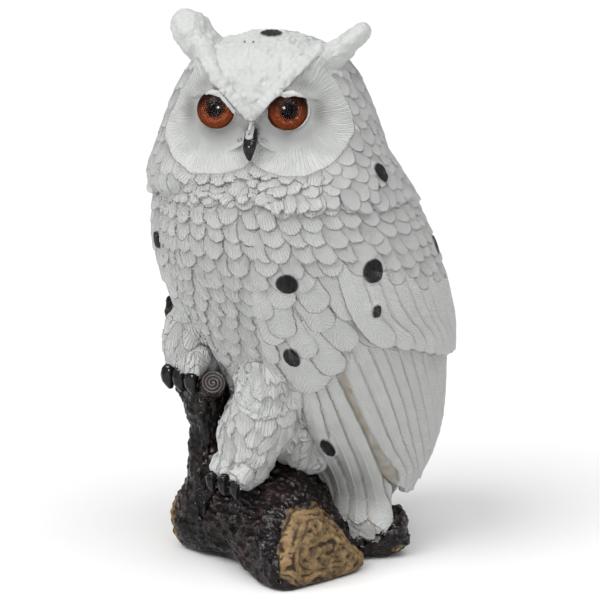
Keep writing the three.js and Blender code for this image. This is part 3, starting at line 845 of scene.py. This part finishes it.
def body():
    """Finely carved where it shows, and coarse where the wings hide it."""
    shell = Shell(["body_shell"], low=46, high=222, axis=AXIS)
    rows = np.arange(48, 219, PITCH)
    fine, coarse = math.degrees(PITCH / BREAST_RADIUS), 2.5
    # The breast, under the left wing, the back, and under the right wing.
    spans = (-64, 64, fine), (66, 152, coarse), (154, 206, fine * 1.2), (208, 294, coarse)
    angles = np.concatenate([np.arange(*span) for span in spans])
    angle, z = (g.ravel() for g in np.meshgrid(angles, rows))
    points, normals = shell.at(angle, z), shell.normal(angle, z)
    turned = (angle + 180) % 360 - 180
    inside = np.abs(turned) - curve(WING_FRONT, z) - np.where(turned < 0, RIGHT_WING_BACK, 0)
    under = smoothstep(4, 10, inside) * smoothstep(176, 170, np.abs(turned))
    nape = smoothstep(200, 215, z) * smoothstep(60, 95, np.abs(turned))
    plumage = Plumage(points - normals * (UNDER_WINGS * under + UNDER_NAPE * nape)[:, None], normals)
    plumage.cover[:] = 1
    shingles(
        plumage, shell, rows=np.arange(56, 124, 8.5), spacing=8.5, span=lambda z: (-52, 52),
        size=lambda u, v: (12 + jitter(3), 22), look=LOOKS["belly"],
        heading=lambda u, v: 0.25 * u + jitter(14),
    )
    shingles(
        plumage, shell, rows=np.arange(124, 224, 8.2), spacing=10.2, span=lambda z: (-58, 58),
        size=lambda u, v: (12.2, 16), look=LOOKS["breast"], heading=lambda u, v: 0.12 * u,
    )
    shingles(
        plumage, shell, rows=np.arange(60, 224, 9), spacing=11, span=lambda z: (156, 204),
        size=lambda u, v: (13, 17), look=LOOKS["back"],
    )
    carved = plumage.carved()
    n, count = len(angles), len(carved)
    ring = np.arange(n)
    turn = np.roll(ring, -1)
    caps = np.vstack([
        np.stack([turn, ring, np.full(n, count)], -1),
        np.stack([ring + count - n, turn + count - n, np.full(n, count + 1)], -1),
    ])
    points = np.vstack([carved, carved[:n].mean(axis=0), carved[-n:].mean(axis=0)])
    wash, fleck, barb = (np.append(f, np.zeros(2)) for f in (plumage.wash, plumage.fleck, plumage.barb))
    build("breast_and_back_feathers", points, [grid_faces(len(rows), n, wrap=True), caps], ["body_shell"],
          wash=wash, fleck=fleck, barb=barb, soot=np.zeros(count + 2))


body()


def flow(normals, downstream):
    """Which way a feather lies on each normal, given the way they all run."""
    down = np.asarray(downstream, float)
    return unit(down - (normals @ down)[..., None] * normals)


def scatter(points, usable, spacing):
    """Indices of points chosen at random, no two closer than the spacing."""
    order = rng.permutation(np.nonzero(usable)[0])
    free = np.ones(len(points), bool)
    chosen = []
    for i in order:
        if free[i]:
            chosen.append(i)
            near = (np.abs(points - points[i]) < spacing).all(axis=1)
            near &= ((points - points[i]) ** 2).sum(axis=1) < spacing**2
            free[near] = False
    return np.array(chosen)


def ruffled(plumage, downstream, spacing, usable, size, look, spread):
    """Irregular flaps all over the usable points, the furthest downstream laid first."""
    chosen = scatter(plumage.points, usable, spacing)
    places, normals = plumage.points[chosen], plumage.normals[chosen]
    heading = flow(normals, downstream)
    lift = look["lift"]
    for k in np.argsort(-places @ np.asarray(downstream, float)):
        width, length = size()
        lean = math.radians(jitter(spread))
        way = heading[k] * math.cos(lean) + np.cross(normals[k], heading[k]) * math.sin(lean)
        path = [places[k] - way * length * 0.62, places[k] + way * length * 0.38]
        varied = dict(look, lift=(lift[0], lift[1] * (1 + jitter(0.22))), tilt=jitter(0.4), phase=jitter(3))
        plumage.flap(path, width * (1 + jitter(0.14)), **varied)


def fan(ring, hub):
    """Triangles from a ring of point numbers to a hub."""
    return np.stack([ring, np.roll(ring, -1), np.full(len(ring), hub)], -1)


def halves(quads):
    """Each quad as two triangles."""
    return np.vstack([quads[:, :3], quads[:, [0, 2, 3]]])


def horn(path, radii, sides=14, flat=1.0):
    """A closed, round-ended tapering bar of triangles along a path; flat squashes it on the face."""
    path, radii = np.asarray(path, float), np.asarray(radii, float)
    ahead = unit(np.gradient(path, axis=0))
    side = unit(np.cross(ahead, FACE.ahead))
    out = np.cross(side, ahead)
    turn = np.linspace(0, 2 * math.pi, sides, endpoint=False)
    ring = np.cos(turn)[:, None, None] * side + flat * np.sin(turn)[:, None, None] * out
    rings = path + ring * radii[:, None]
    ends = path[0] - ahead[0] * radii[0] * 0.7, path[-1] + ahead[-1] * radii[-1] * 0.7
    points = np.vstack([rings.transpose(1, 0, 2).reshape(-1, 3), *ends])
    first = np.arange(sides)
    last = first + sides * (len(path) - 1)
    caps = [fan(first, len(points) - 2)[:, [1, 0, 2]], fan(last, len(points) - 1)]
    return points, np.vstack([halves(grid_faces(len(path), sides, wrap=True)), *caps])


# ---- Head --------------------------------------------------------------------------------------
class FACE:
    """Where the face is: the point between the eyes, the way to the owl's left and the way it looks."""

    left, right = centre("eye_glass_left"), centre("eye_glass_right")
    middle = (left + right) / 2
    across = unit((left - right) * (1, 1, 0))
    ahead = np.array([across[1], -across[0], 0])
    eye = np.linalg.norm((left - right)[:2]) / 2

    @classmethod
    def place(cls, points):
        """How far left, up and forward points are."""
        d = points - cls.middle
        return d @ cls.across, d[..., 2], d @ cls.ahead

    @classmethod
    def at(cls, left, up, ahead):
        return cls.middle + cls.across * left + cls.ahead * ahead + np.array([0, 0, up])


# Half the width of the raised forehead at heights above the eyes. Its two edges are the brows.
FOREHEAD = [(-9, 0.5), (-6, 2), (0, 7.5), (6, 13.5), (12, 19.5), (20, 26.5), (27, 33), (38, 40)]
DISC_RADIUS = 31.0
DISC_LINES = 78  # fine lines round each eye
# The upper eyelid: how far from the eye's middle towards the beak, and above it. Its outer end is
# pointed.
LID = [(10, -2.0), (6.2, 2.8), (2.3, 7.0), (-3, 8.3), (-8, 7.2), (-11.8, 5.4), (-15.8, 4.4)]
# Its fold starts under the brow, and is this thick along the outer part of that line.
LID_START = (5.2, 9.0)
LID_RADII = [1.0, 1.9, 1.8, 1.2, 0.3]
# How far each eye opens towards its outer side; the owl's right one is narrower.
EYE_OPENING = {1: 10.0, -1: 7.6}
RIM_RADIUS = 0.42  # of the thin rim round each opening
# Along each brow, and along the fold beside the beak: left, up, out of the face, and the radius.
BROW = [(1.5, -4, 0.2, 1.6), (5.5, 0.5, -0.3, 1.8), (11.5, 7.2, -0.8, 2.1), (18, 13.5, -1.6, 2.7),
        (25, 21, -2.6, 3.8)]
BEAK_FOLD = [(2.4, -13, 2.0, 1.2), (4.4, -17, 1.8, 1.5), (8, -19.5, 0.4, 1.3), (13, -21.5, -0.6, 0.8)]
CERE_RADII = [1.3, 1.8, 2.1, 2.4, 2.4]  # the soft skin over the top of the beak
TUFTS = {1: "ear_tuft_left", -1: "ear_tuft_right"}
# On the crown, on the side of the head, and two specks: left, up and forward, and the half sizes.
HEAD_FLECKS = [((4, 38.4, -32), (6.2, 7.6)), ((62.5, -34.2, -19), (4.6, 6.4)),
               ((-7.5, 32.7, -18.5), (0.7, 0.6)), ((-2.5, 32.5, -16.3), (0.7, 0.6))]
FAR = 60  # rays at the face start this far in front of it


def head_base():
    """The smooth head sampled from the CAD: its middle, its points and its triangles."""
    low, high = corners("head_shell")
    heart = np.array([(low[0] + high[0]) / 2, AXIS(low[2]) - 5, low[2] + 41])
    nodes = ["head_shell", "eye_glass_left", "eye_glass_right", "wing_left", "wing_right", "body_shell"]
    dome = Dome(nodes, low=-33, high=91, axis=heart, sink=1.0)
    angle, level = np.meshgrid(np.arange(0, 360, 2.5), np.arange(-33, 89, 2.5))
    rows, columns = angle.shape
    points = dome.at(angle.ravel(), level.ravel())
    count = len(points)
    ring = np.arange(columns)
    caps = [fan(ring, count)[:, [1, 0, 2]], fan(ring + count - columns, count + 1)]
    triangles = np.vstack([halves(grid_faces(rows, columns, wrap=True)), *caps])
    return heart, np.vstack([points, points[:columns].mean(0), points[-columns:].mean(0)]), triangles


def face_parts(on_face):
    """The brows, lids, eye rims and beak folds, as bars to fuse with the head."""
    parts = []
    for side in (1, -1):
        path = [on_face(side * left, up, out) for left, up, out, _ in BROW]
        tuft = centre(TUFTS[side])
        root = path[-1] + (tuft - path[-1]) * 0.55
        parts.append(horn([*path, root, tuft], [*(r for *_, r in BROW), 5.0, 5.5], flat=0.85))
        lid = [on_face(side * (FACE.eye - s), v, 0.4) for s, v in [LID_START, *LID[3:]]]
        parts.append(horn(lid, LID_RADII, flat=0.9))
        turns = np.radians(np.linspace(25, -200, 22))
        reach = np.where(np.cos(turns) > 0, EYE_OPENING[side], EYE_OPENING[1])
        rim = zip(side * (FACE.eye + reach * np.cos(turns)), EYE_OPENING[1] * np.sin(turns))
        parts.append(horn([on_face(a, b, -0.3) for a, b in rim], np.full(len(turns), RIM_RADIUS)))
        fold = [on_face(side * left, up, out) for left, up, out, _ in BEAK_FOLD]
        parts.append(horn(fold, [r for *_, r in BEAK_FOLD]))
    beak = nodes_tree("beak")
    cere = [on_face(0, -4, 0.8), on_face(0, -6.5, 2.0)]
    for up in (-9, -11.5, -13.8):
        hit = beak.ray_cast(Vector(FACE.at(0, up, FAR)), Vector(-FACE.ahead))
        cere.append(on_face(0, up, 3.0) if hit[0] is None else np.array(hit[0]))
    parts.append(horn(cere, CERE_RADII, flat=0.7))
    return parts


class HeadPlumage(Plumage):
    """The head's feathers, and where each point is: left, up and out from the point between the
    eyes, its level round the head in degrees, and from 0 to 1 how far it is in front, in a facial
    disc, on the forehead's plate and in a tuft."""

    def __init__(self, points, normals, heart):
        super().__init__(points, normals)
        self.left, self.up, self.out = left, up, out = FACE.place(points)
        spoke = points - heart
        self.level = np.degrees(np.arctan2(spoke[:, 2], np.hypot(spoke[:, 0], spoke[:, 1])))
        self.outside = (np.linalg.norm(spoke, axis=1) > 45) & ((normals[:, 2] > -0.75) | (self.level > 15))
        self.cover[:] = smoothstep(-18.5, -17, self.level)
        self.front = smoothstep(-22, -12, out)
        discs = [np.hypot(left - side * (FACE.eye + 1.5), (up + 3) * 0.98) for side in (1, -1)]
        self.disc = np.minimum(*discs)
        soft = 3.0 + 3.0 * smoothstep(-16, 4, up)
        wavy = self.disc + 1.0 * layered(points / 9, 2, 67)
        self.in_disc = smoothstep(DISC_RADIUS + soft, DISC_RADIUS - soft, wavy) * self.front
        self.inward = curve(FOREHEAD, up) - np.abs(left)
        self.in_plate = smoothstep(-0.5, 1.5, self.inward) * smoothstep(-8, -4, up)
        self.in_plate = self.in_plate * smoothstep(-62, -48, out)
        self.in_tuft = np.zeros(len(points))
        # Fine lines run out from the nearest eye, at this many radians round it.
        nearest = np.where(discs[0] < discs[1], 1, -1)
        self.round_eye = np.arctan2(up + 3, (left - nearest * FACE.eye) * nearest)
        self.outward = left * nearest - FACE.eye
        self.wander = noise(points / 5, 9)
        self.soot = np.zeros(len(points))

    def lines(self, shift=0):
        return 0.5 + 0.5 * np.cos(self.round_eye * DISC_LINES + 3 * self.wander + shift)

    def carve_tufts(self, on_face):
        """Hair along both tufts, and rough feathers round their roots."""
        points, clear = self.points, np.full(len(self.points), 99.0)
        for side, name in TUFTS.items():
            lo, hi = corners(name)
            gap = np.linalg.norm(np.maximum(np.maximum(lo - points, points - hi), 0), axis=1)
            clear = np.minimum(clear, gap)
            mine = ((points > lo - 2) & (points < hi + 2)).all(axis=1)
            mine = mine * smoothstep(lo[2] + 3, lo[2] + 9, points[:, 2])
            axis = unit((hi + lo) / 2 - on_face(side * 30, 22, -4))
            across = unit(np.cross(axis, FACE.ahead))
            d = points - (lo + hi) / 2
            around = np.arctan2(d @ np.cross(axis, across), d @ across)
            hair = noise(np.stack([np.cos(around) * 3.6, np.sin(around) * 3.6, d @ axis / 9], -1), 63)
            self.height += mine * (0.5 + 0.6 * hair + 0.7 * layered(points / 4, 3, 64))
            self.in_tuft = np.maximum(self.in_tuft, mine)
        self.height += 0.8 * smoothstep(8, 3, clear) * (1 - self.in_tuft) * layered(points / 4, 3, 64)
        self.clear = clear

    def carve_scales(self):
        """Scales over the head, and ragged ones under the chin."""
        back = -FACE.ahead * 0.75 - np.array([0, 0, 1.0])
        scaly = self.outside & (self.in_disc < 0.2) & (self.level > -26)
        scaly &= (self.in_tuft < 0.4) & (self.in_plate < 0.3) & (self.clear > 6)
        ruffled(self, back, spacing=6.8, usable=scaly, size=lambda: (10.6, 13.5),
                look=LOOKS["head"], spread=14)
        chin = scaly & (np.abs(self.left) < 34) & (self.up < -24) & (self.out > -18)
        ruffled(self, back, spacing=5.6, usable=chin, size=lambda: (9.5, 12),
                look=LOOKS["chin"], spread=30)

    def carve_discs(self):
        """The facial discs: dished, with a raised rim and fine lines running out from the eyes."""
        disc = self.disc
        rim = 0.2 * bump(disc - DISC_RADIUS + 1.5, 2.2)
        shape = -1.0 * np.clip(1 - (disc / DISC_RADIUS) ** 2, 0, 1) + rim + 0.3
        lined = smoothstep(10.5, 13, disc) * smoothstep(DISC_RADIUS, DISC_RADIUS - 5, disc)
        shape -= 0.42 * self.lines() * (0.35 + 0.65 * smoothstep(-4, 9, self.outward)) * lined
        plain = self.in_disc * (1 - self.in_plate)
        self.height = self.height * (1 - plain) + shape * plain
        self.wash *= 1 - plain
        fine = self.round_eye * DISC_LINES / (2 * math.pi) + 0.48 * self.wander
        self.barb[:] = np.where(plain > 0.5, fine, self.barb)
        # Painted shadow: tan under the discs' lower edge, where they overhang the chin.
        under = bump(disc - DISC_RADIUS - 0.8, 1.0) * self.front * smoothstep(-8, -20, self.up)
        self.wash = np.maximum(self.wash, 0.25 * under)

    def carve_forehead(self):
        """A rough raised plate whose notched edges are the brows."""
        points, up, out, inward = self.points, self.up, self.out, self.inward
        raised = self.in_plate * (1 - smoothstep(26, 40, up)) * (1 - smoothstep(20, 34, -out))
        strands = noise(np.stack([self.left / 1.4, (up - 0.5 * out) / 8, out / 9], -1), 61)
        ridge = bump(inward - 1.8, 1.5) * (0.5 + 0.7 * noise(points / 2.6, 66)) * smoothstep(-6, 2, up)
        self.height += (1.5 + 0.5 * smoothstep(2.5, 5, inward) + 0.9 * bump(inward - 5, 2.2)) * raised
        rough = 0.5 * strands + 1.0 * layered(points / 5, 4, 62) + 0.9 * ridge * raised
        self.height += self.in_plate * (1 - self.in_tuft) * rough
        brows = bump(inward, 3.0) * smoothstep(-10, -4, up) * self.front
        self.height += 0.75 * brows * layered(points / 2.4, 2, 68)

    def open_eyes(self):
        """The eye openings, each under its lid, and the grey round them: airbrushed paint, with painted
        shade above the lid.
        """
        up, front = self.up, self.front
        for side, opens in EYE_OPENING.items():
            s = FACE.eye - side * self.left
            r = np.hypot(np.where(s < 0, s * EYE_OPENING[1] / opens, s), up)
            above = up - np.interp(-s, [-v[0] for v in LID], [v[1] for v in LID])
            opening = smoothstep(10.1, 9.7, r) * smoothstep(-0.9, -1.5, above) * front
            self.height = self.height * (1 - opening) - 6.5 * opening
            smooth = bump(np.maximum(r - 10.3, 0), 0.6) * front * (above < 2.6)
            evened = self.height * (1 - smooth) + 0.15 * smooth
            self.height = np.where(opening > 0, self.height, evened)
            self.barb[:] = np.where(smooth > 0.5, 0, self.barb)
            beside = bump(s + 15.5, 4.5) * bump(up + 1, 8) * 0.75
            # Painted shade above the lid, under the brow.
            over = bump(above - 6, 3.2) * bump(s + 7, 7) * 0.5
            below = bump(r - 14.5, 3) * (up < 0) * 0.22
            dark = np.maximum(beside, np.maximum(over, below)) * (0.45 + 0.55 * self.lines(1))
            self.soot = np.maximum(self.soot, dark * front * (r > 10.4) * (side * self.left > 0))
            self.wash = np.where((opening > 0.05) & (r > 8), 0.6, self.wash)

    def end_at_neck(self):
        """Its lowest row stands out over the body, and below that it is out of sight."""
        self.height += 2.6 * smoothstep(-5, -17, self.level) * self.cover
        self.height[~self.outside | (self.cover < 0.5)] = -4.5


def head():
    heart, *base = head_base()
    tree = BVHTree.FromPolygons(base[0].tolist(), base[1].tolist())

    def on_face(left, up, out=0.0):
        start = FACE.at(left, up, FAR)
        hit = tree.ray_cast(Vector(start), Vector(-FACE.ahead))
        if hit[0] is None:
            hit = tree.find_nearest(Vector(start - FACE.ahead * 72))
        return np.array(hit[0]) + FACE.ahead * out

    parts = [base, *(node_part(name) for name in TUFTS.values()), *face_parts(on_face)]
    points, faces, normals = fused(parts, voxel=0.52, smooth=3)
    plumage = HeadPlumage(points, normals, heart)
    plumage.carve_tufts(on_face)
    plumage.carve_scales()
    plumage.carve_discs()
    plumage.carve_forehead()
    plumage.open_eyes()
    plumage.end_at_neck()

    def fleck(place, size, seed):
        at, facing, *_ = tree.find_nearest(Vector(FACE.at(*place)))
        facing = np.array(facing)
        across = unit(np.cross(FACE.ahead * facing[2] + np.array([0, 0, 1 - facing[2]]), facing))
        plumage.spot(np.array(at), across, np.cross(facing, across), size, seed)

    for number, (place, size) in enumerate(HEAD_FLECKS):
        fleck(place, size, 77 + number)
    white_piece("head_feathers", plumage, faces, ["head_shell", *TUFTS.values()], plumage.soot)


head()


GLASS_WALL = 0.4
IRIS_RISE = 2.4  # how far the iris domes at its middle


def eye(name):
    """A clear glass dome over a painted iris, which the glass makes look domed too."""
    glass, _ = node_part(f"eye_glass_{name}")
    disc, _ = node_part(f"iris_disc_{name}")
    at = disc.mean(axis=0)
    look = unit(glass.mean(axis=0) - at)

    def measured(points):
        """How far out from the iris's middle the points reach, and how far forward each is."""
        out = (points - at) @ look
        return np.linalg.norm(points - at - out[:, None] * look, axis=1).max(), out

    across, out = measured(glass)
    back, rise = out.min(), out.max() - out.min()
    radius = (across**2 + rise**2) / (2 * rise)
    side = unit(np.cross(look, (0, 0, 1)))
    up = np.cross(side, look)
    turn = np.linspace(0, 2 * math.pi, 72, endpoint=False)

    def lathe(profile):
        profile = np.asarray(profile, float)
        ring = np.cos(turn)[:, None] * side + np.sin(turn)[:, None] * up
        points = at + look * profile[:, 1, None, None] + ring[None] * profile[:, 0, None, None]
        return points.reshape(-1, 3), grid_faces(len(profile), len(turn), wrap=True)

    tilt = np.linspace(1e-3, math.asin(across / radius), 22)
    front = [(radius * math.sin(t), back + rise - radius * (1 - math.cos(t))) for t in tilt]
    inner = radius - GLASS_WALL
    behind = [(inner * math.sin(t), back + rise - radius + inner * math.cos(t)) for t in tilt[::-1]]
    points, faces = lathe(front + behind)
    dome = build(f"eye_dome_{name}", points, faces, [f"eye_glass_{name}"], slot="eye_glass")
    dome.visible_shadow = False

    reach, out = measured(disc)
    thick = out.max()
    share = np.concatenate([np.linspace(0.001, 1, 40), [1.0, 0.5, 0.001]])
    depth = np.concatenate([thick + IRIS_RISE * (1 - np.linspace(0, 1, 40) ** 2), [-thick, -thick, -thick]])
    points, faces = lathe(np.stack([share * reach, depth], -1))
    share = np.repeat(share, len(turn))
    high = share * np.tile(np.sin(turn), len(points) // len(turn))
    build(f"iris_{name}", points, faces[:, ::-1], [f"iris_disc_{name}"], slot="iris_paint",
          share=share, high=high)


eye("left")
eye("right")


def glossy_horn(name, swell):
    """The beak or a claw: glossy black with fine ridges running down it, swollen a little."""
    points, faces, normals = fused([node_part(name)], voxel=0.4, smooth=5)
    middle = centre(name)
    around = np.arctan2(points[:, 1] - middle[1], points[:, 0] - middle[0])
    grooved = noise(np.stack([np.cos(around) * 2.5, np.sin(around) * 2.5, points[:, 2] / 9], -1), 3)
    height = swell + 0.22 * grooved
    build(f"{name}_gloss", points + normals * height[:, None], faces, [name], slot="black_paint")


glossy_horn("beak", 0.25)
for foot, swell in (("left", 0.3), ("right", 1.4)):
    for toe in ("inner", "middle", "outer"):
        glossy_horn(f"claw_{foot}_{toe}", swell)


# ---- Legs and tail -----------------------------------------------------------------------------
def leg(name, fluff, radii):
    """A feathered leg, with more fluff along a path."""
    points, faces, normals = fused([node_part(f"leg_{name}"), horn(fluff, radii)], voxel=0.62, smooth=6)
    normals = normals.astype(float)
    points = points + normals * (1.8 * layered(points / (8, 8, 11), 2, 21))[:, None]
    plumage = Plumage(points, normals)
    down = np.array([0, -0.35, -1.0])
    ruffled(plumage, down, spacing=8.8, usable=normals[:, 2] > -0.9, size=lambda: (14.5 + jitter(4), 24),
            look=LOOKS["leg"], spread=20)
    white_piece(f"leg_{name}_feathers", plumage, faces, [f"leg_{name}"])


def tail():
    points, faces, normals = fused([node_part("tail")], voxel=0.8, smooth=4)
    plumage = Plumage(points, normals.astype(float))
    low, high = corners("tail")
    for row, z in enumerate((low[2] + 12, low[2] + 20)):
        for x in np.arange(low[0], high[0] + 1, 7) + 3.5 * (row % 2):
            for y in (low[1], high[1]):
                plumage.flap([(x, y, z + 28), (x, y, z - 12)], 9, **LOOKS["tail"])
    white_piece("tail_feathers", plumage, faces, ["tail"])


left_foot, right_foot = corners("leg_left")[0], corners("leg_right")[0]
shank = [(x, y, left_foot[2] + up) for x, y, up in ((8, -15, 28), (11, -9, 18), (13, -3, 9))]
leg("left", shank, [11, 10.5, 9])
under_foot = [right_foot + step for step in ((24, 17, 9), (25, 18, 5), (25, 18, 1))]
leg("right", under_foot, [5.5, 5.5, 5])
tail()


# ---- Wood --------------------------------------------------------------------------------------
SECTORS = 40  # directions in which a sawn face's width is measured
RINGS = 4.4  # the pitch of its rings


def sawn_face(points, normals, at, facing):
    """Where a cut face is, from 0 to 1, its carved rings and cracks, and how near its heart."""
    beyond = (points - at) @ facing + 1.2 * layered(points / 5, 2, 50)
    here = smoothstep(-0.3, 0.5, beyond) * smoothstep(0.1, 0.35, normals @ facing)
    # The bark laps over the top of the cut.
    top, foot = points[here > 0.5, 2].max(), points[here > 0.5, 2].min()
    lap = top - 0.12 * (top - foot) + 1.6 * layered(points / 4, 2, 58)
    here = here * smoothstep(lap + 1, lap - 0.5, points[:, 2])
    flat = points - at - ((points - at) @ facing)[:, None] * facing
    r = np.linalg.norm(flat, axis=1) * (1 + 0.16 * layered(points / 13, 2, 52))
    r = r + 1.5 * layered(points / 7, 2, 51)
    turn = np.arctan2(flat[:, 2], flat @ unit(np.cross(facing, (0, 0, 1))))
    sector = ((turn + math.pi) / (2 * math.pi) * SECTORS).astype(int) % SECTORS
    edge = np.array([r[(sector == k) & (here > 0.5)].max(initial=6) for k in range(SECTORS)])
    edge = sum(np.roll(edge, k) for k in range(-2, 3)) / 5
    between = np.interp(turn, np.linspace(-math.pi, math.pi, SECTORS), edge)
    inward = edge[sector] * 0.5 + between * 0.5 - r
    carved = (0.5 + 0.5 * np.cos(2 * math.pi * (inward - 1.2) / RINGS)) * smoothstep(13, 9, inward)
    spokes = smoothstep(0.93, 0.995, np.cos(turn * 13 + 2.5 * layered(points / 9, 2, 53)))
    spokes = spokes * smoothstep(12, 6, inward)
    broken = smoothstep(-0.8, -0.2, layered(points / 5, 2, 57))
    cracked = spokes * (layered(points / 4, 1, 55) > 0.0)
    lines = np.maximum(smoothstep(0.6, 0.95, carved) * broken, cracked)
    heart = smoothstep(9, 13, inward)
    lines = np.maximum(lines, heart * smoothstep(0.2, 0.5, layered(points / 3.0, 3, 56)))
    return here, lines, heart


def bark(name, along, sawn=(), rough=1.0):
    """Carved bark whose furrows run along an axis. sawn lists (point, facing) of cut faces."""
    points, faces, normals = fused([node_part(name)], voxel=0.85, smooth=3)
    normals = normals.astype(float)
    q = points / (1 + 2.2 * np.abs(np.asarray(along, float)))
    grip = smoothstep(0.3, 3, points[:, 2] - corners(name)[0][2])
    ridged = 1 - np.abs(layered(q / 3.4, 3, 41)) * 2.2
    height = 1.9 * layered(points / 11, 2, 39) + 0.9 * layered(q / 5, 2, 40) + 0.8 * ridged - 0.6
    height = rough * (height + 0.8 * layered(points / 2.2, 2, 43))
    cut, ring = np.zeros(len(points)), np.zeros(len(points))
    for at, facing in sawn:
        here, lines, heart = sawn_face(points, normals, np.array(at), unit(np.asarray(facing, float)))
        end = (0.8 + 0.9 * heart) * layered(points / 3, 3, 54) - 1.0 * lines
        height = height * (1 - here) + here * end
        cut, ring = np.maximum(cut, here), np.maximum(ring, here * lines)
    # Painted highlights: pale flecks along the crests that face up, where lamps glint on the glossy bark;
    # the highest crests are also paler, as rubbed.
    specks = smoothstep(0.28, 0.6, layered(points / 1.3, 2, 59)) * smoothstep(0.1, 0.7, ridged)
    specks = specks * smoothstep(-0.3, 0.5, normals[:, 2])
    worn = np.maximum(smoothstep(0.75, 1.0, ridged) * 0.12, 0.75 * specks) * (1 - cut)
    points = points + normals * (height * grip)[:, None]
    build(f"{name}_bark", points, faces, [name], slot="bark_paint", sawn=cut, ring=ring, worn=worn)


log_low, log_high = corners("log")
_, log_y, log_z = centre("log")
bark("log", (1, 0, 0), [
    ((log_high[0] - 13.4, log_y - 10, log_z), (0.97, -0.06, 0.24)),
    ((log_low[0] + 9, log_y - 14, log_z - 6), (-0.9, -0.35, -0.1)),
])
bark("stump", (0, 0, 1), rough=0.9)
branch_low, branch_high = corners("side_branch")
branch_end = branch_high[0] - 2.5, branch_high[1] - 12, branch_low[2] + 4
bark("side_branch", (0.7, 0.7, 0), [(branch_end, (0.8, -0.2, -0.5))])


def knot():
    """The cut-off twig, with a spiral carved in its end."""
    points, faces, normals = fused([node_part("knot")], voxel=0.5, smooth=3)
    facing = unit(np.array([0.7, -0.5, 0.5]))
    out = (points - centre("knot")) @ facing
    face = smoothstep(out.max() - 4.2, out.max() - 1.8, out) * smoothstep(0.3, 0.6, normals @ facing)
    flat = points - points[out > out.max() - 1.5].mean(axis=0)
    side = unit(np.cross(facing, (0, 0, 1)))
    across, up = flat @ side, flat @ np.cross(side, facing)
    spiral = 0.5 + 0.5 * np.cos(2 * math.pi * (np.hypot(across, up) / 1.9) - np.arctan2(up, across))
    height = (1 - face) * (0.8 * layered(points / 3, 3, 61)) - face * 0.9 * (1 - spiral)
    none = np.zeros(len(points))
    build("knot_bark", points + normals * height[:, None], faces, ["knot"], slot="bark_paint",
          sawn=none, ring=none, worn=face * spiral)


knot()

# The felt pads and the steel pins are shown as the CAD has them.
for node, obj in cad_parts.items():
    for start, slot in (("felt_pad", "felt"), ("leg_pin", "steel_pin")):
        if node.startswith(start):
            obj.data.materials.clear()
            obj.data.materials.append(MATERIALS[slot])


# ---- Floor, light and camera -------------------------------------------------------------------
OWL_MIDDLE = (0, 0, 0.15)


def placed(name, data, place, target):
    """A lamp or camera at a place, pointing at a target."""
    obj = bpy.data.objects.new(name, data)
    obj.location = place
    obj.rotation_euler = (Vector(target) - Vector(place)).to_track_quat("-Z", "Y").to_euler()
    bpy.context.collection.objects.link(obj)
    return obj


def stage(half=60.0, brightness=0.385):
    """A pale floor out to the horizon, and even white light from all round."""
    mesh = bpy.data.meshes.new("floor")
    rim = [(-half, -half, 0), (half, -half, 0), (half, half, 0), (-half, half, 0)]
    mesh.from_pydata(rim, [], [(0, 1, 2, 3)])
    floor = bpy.data.objects.new("floor", mesh)
    bpy.context.collection.objects.link(floor)
    mesh.materials.append(Paint("floor_paper", {"Roughness": 0.9, "Base Color": (*PAPER, 1)}).made)
    world = bpy.data.worlds.new("studio")
    world.use_nodes = True
    background = world.node_tree.nodes["Background"]
    background.inputs["Color"].default_value = (1, 1, 1, 1)
    background.inputs["Strength"].default_value = brightness
    bpy.context.scene.world = world


def sun(name, place, energy, width=math.radians(42)):
    """Broad soft light that leaves no highlight."""
    light = bpy.data.lights.new(name, "SUN")
    light.energy, light.angle = energy, width
    placed(name, light, place, OWL_MIDDLE).visible_glossy = False


def glint(name, place, energy, size):
    """A small round lamp seen only as a highlight, in the eyes and on the wet-looking bark."""
    light = bpy.data.lights.new(name, "AREA")
    light.energy, light.shape, light.size = energy, "DISK", size
    placed(name, light, place, OWL_MIDDLE).visible_diffuse = False


def camera(target, distance=1.1, around=math.radians(45), above=math.radians(12)):
    """From the owl's left front, and a little above it."""
    out = Vector((math.sin(around) * math.cos(above), -math.cos(around) * math.cos(above), math.sin(above)))
    lens = bpy.data.cameras.new("camera")
    lens.sensor_width, lens.lens = 36, 119.64
    bpy.context.scene.camera = placed("camera", lens, target + out * distance, target)


stage()
sun("overhead", (-0.05, -1.0, 1.25), 1.95)
sun("side", (1.0, -0.2, 2.1), 1.2)
glint("eye_glint", (0.86, -1.0, 0.66), 26.0, 0.3)
glint("top_glint", (-0.15, -0.45, 1.5), 9.0, 0.3)
glint("side_glint", (1.1, 0.2, 1.1), 4.0, 0.18)
camera(Vector((0, -0.0018, 0.147)))
bpy.context.scene.view_settings.view_transform = "Standard"
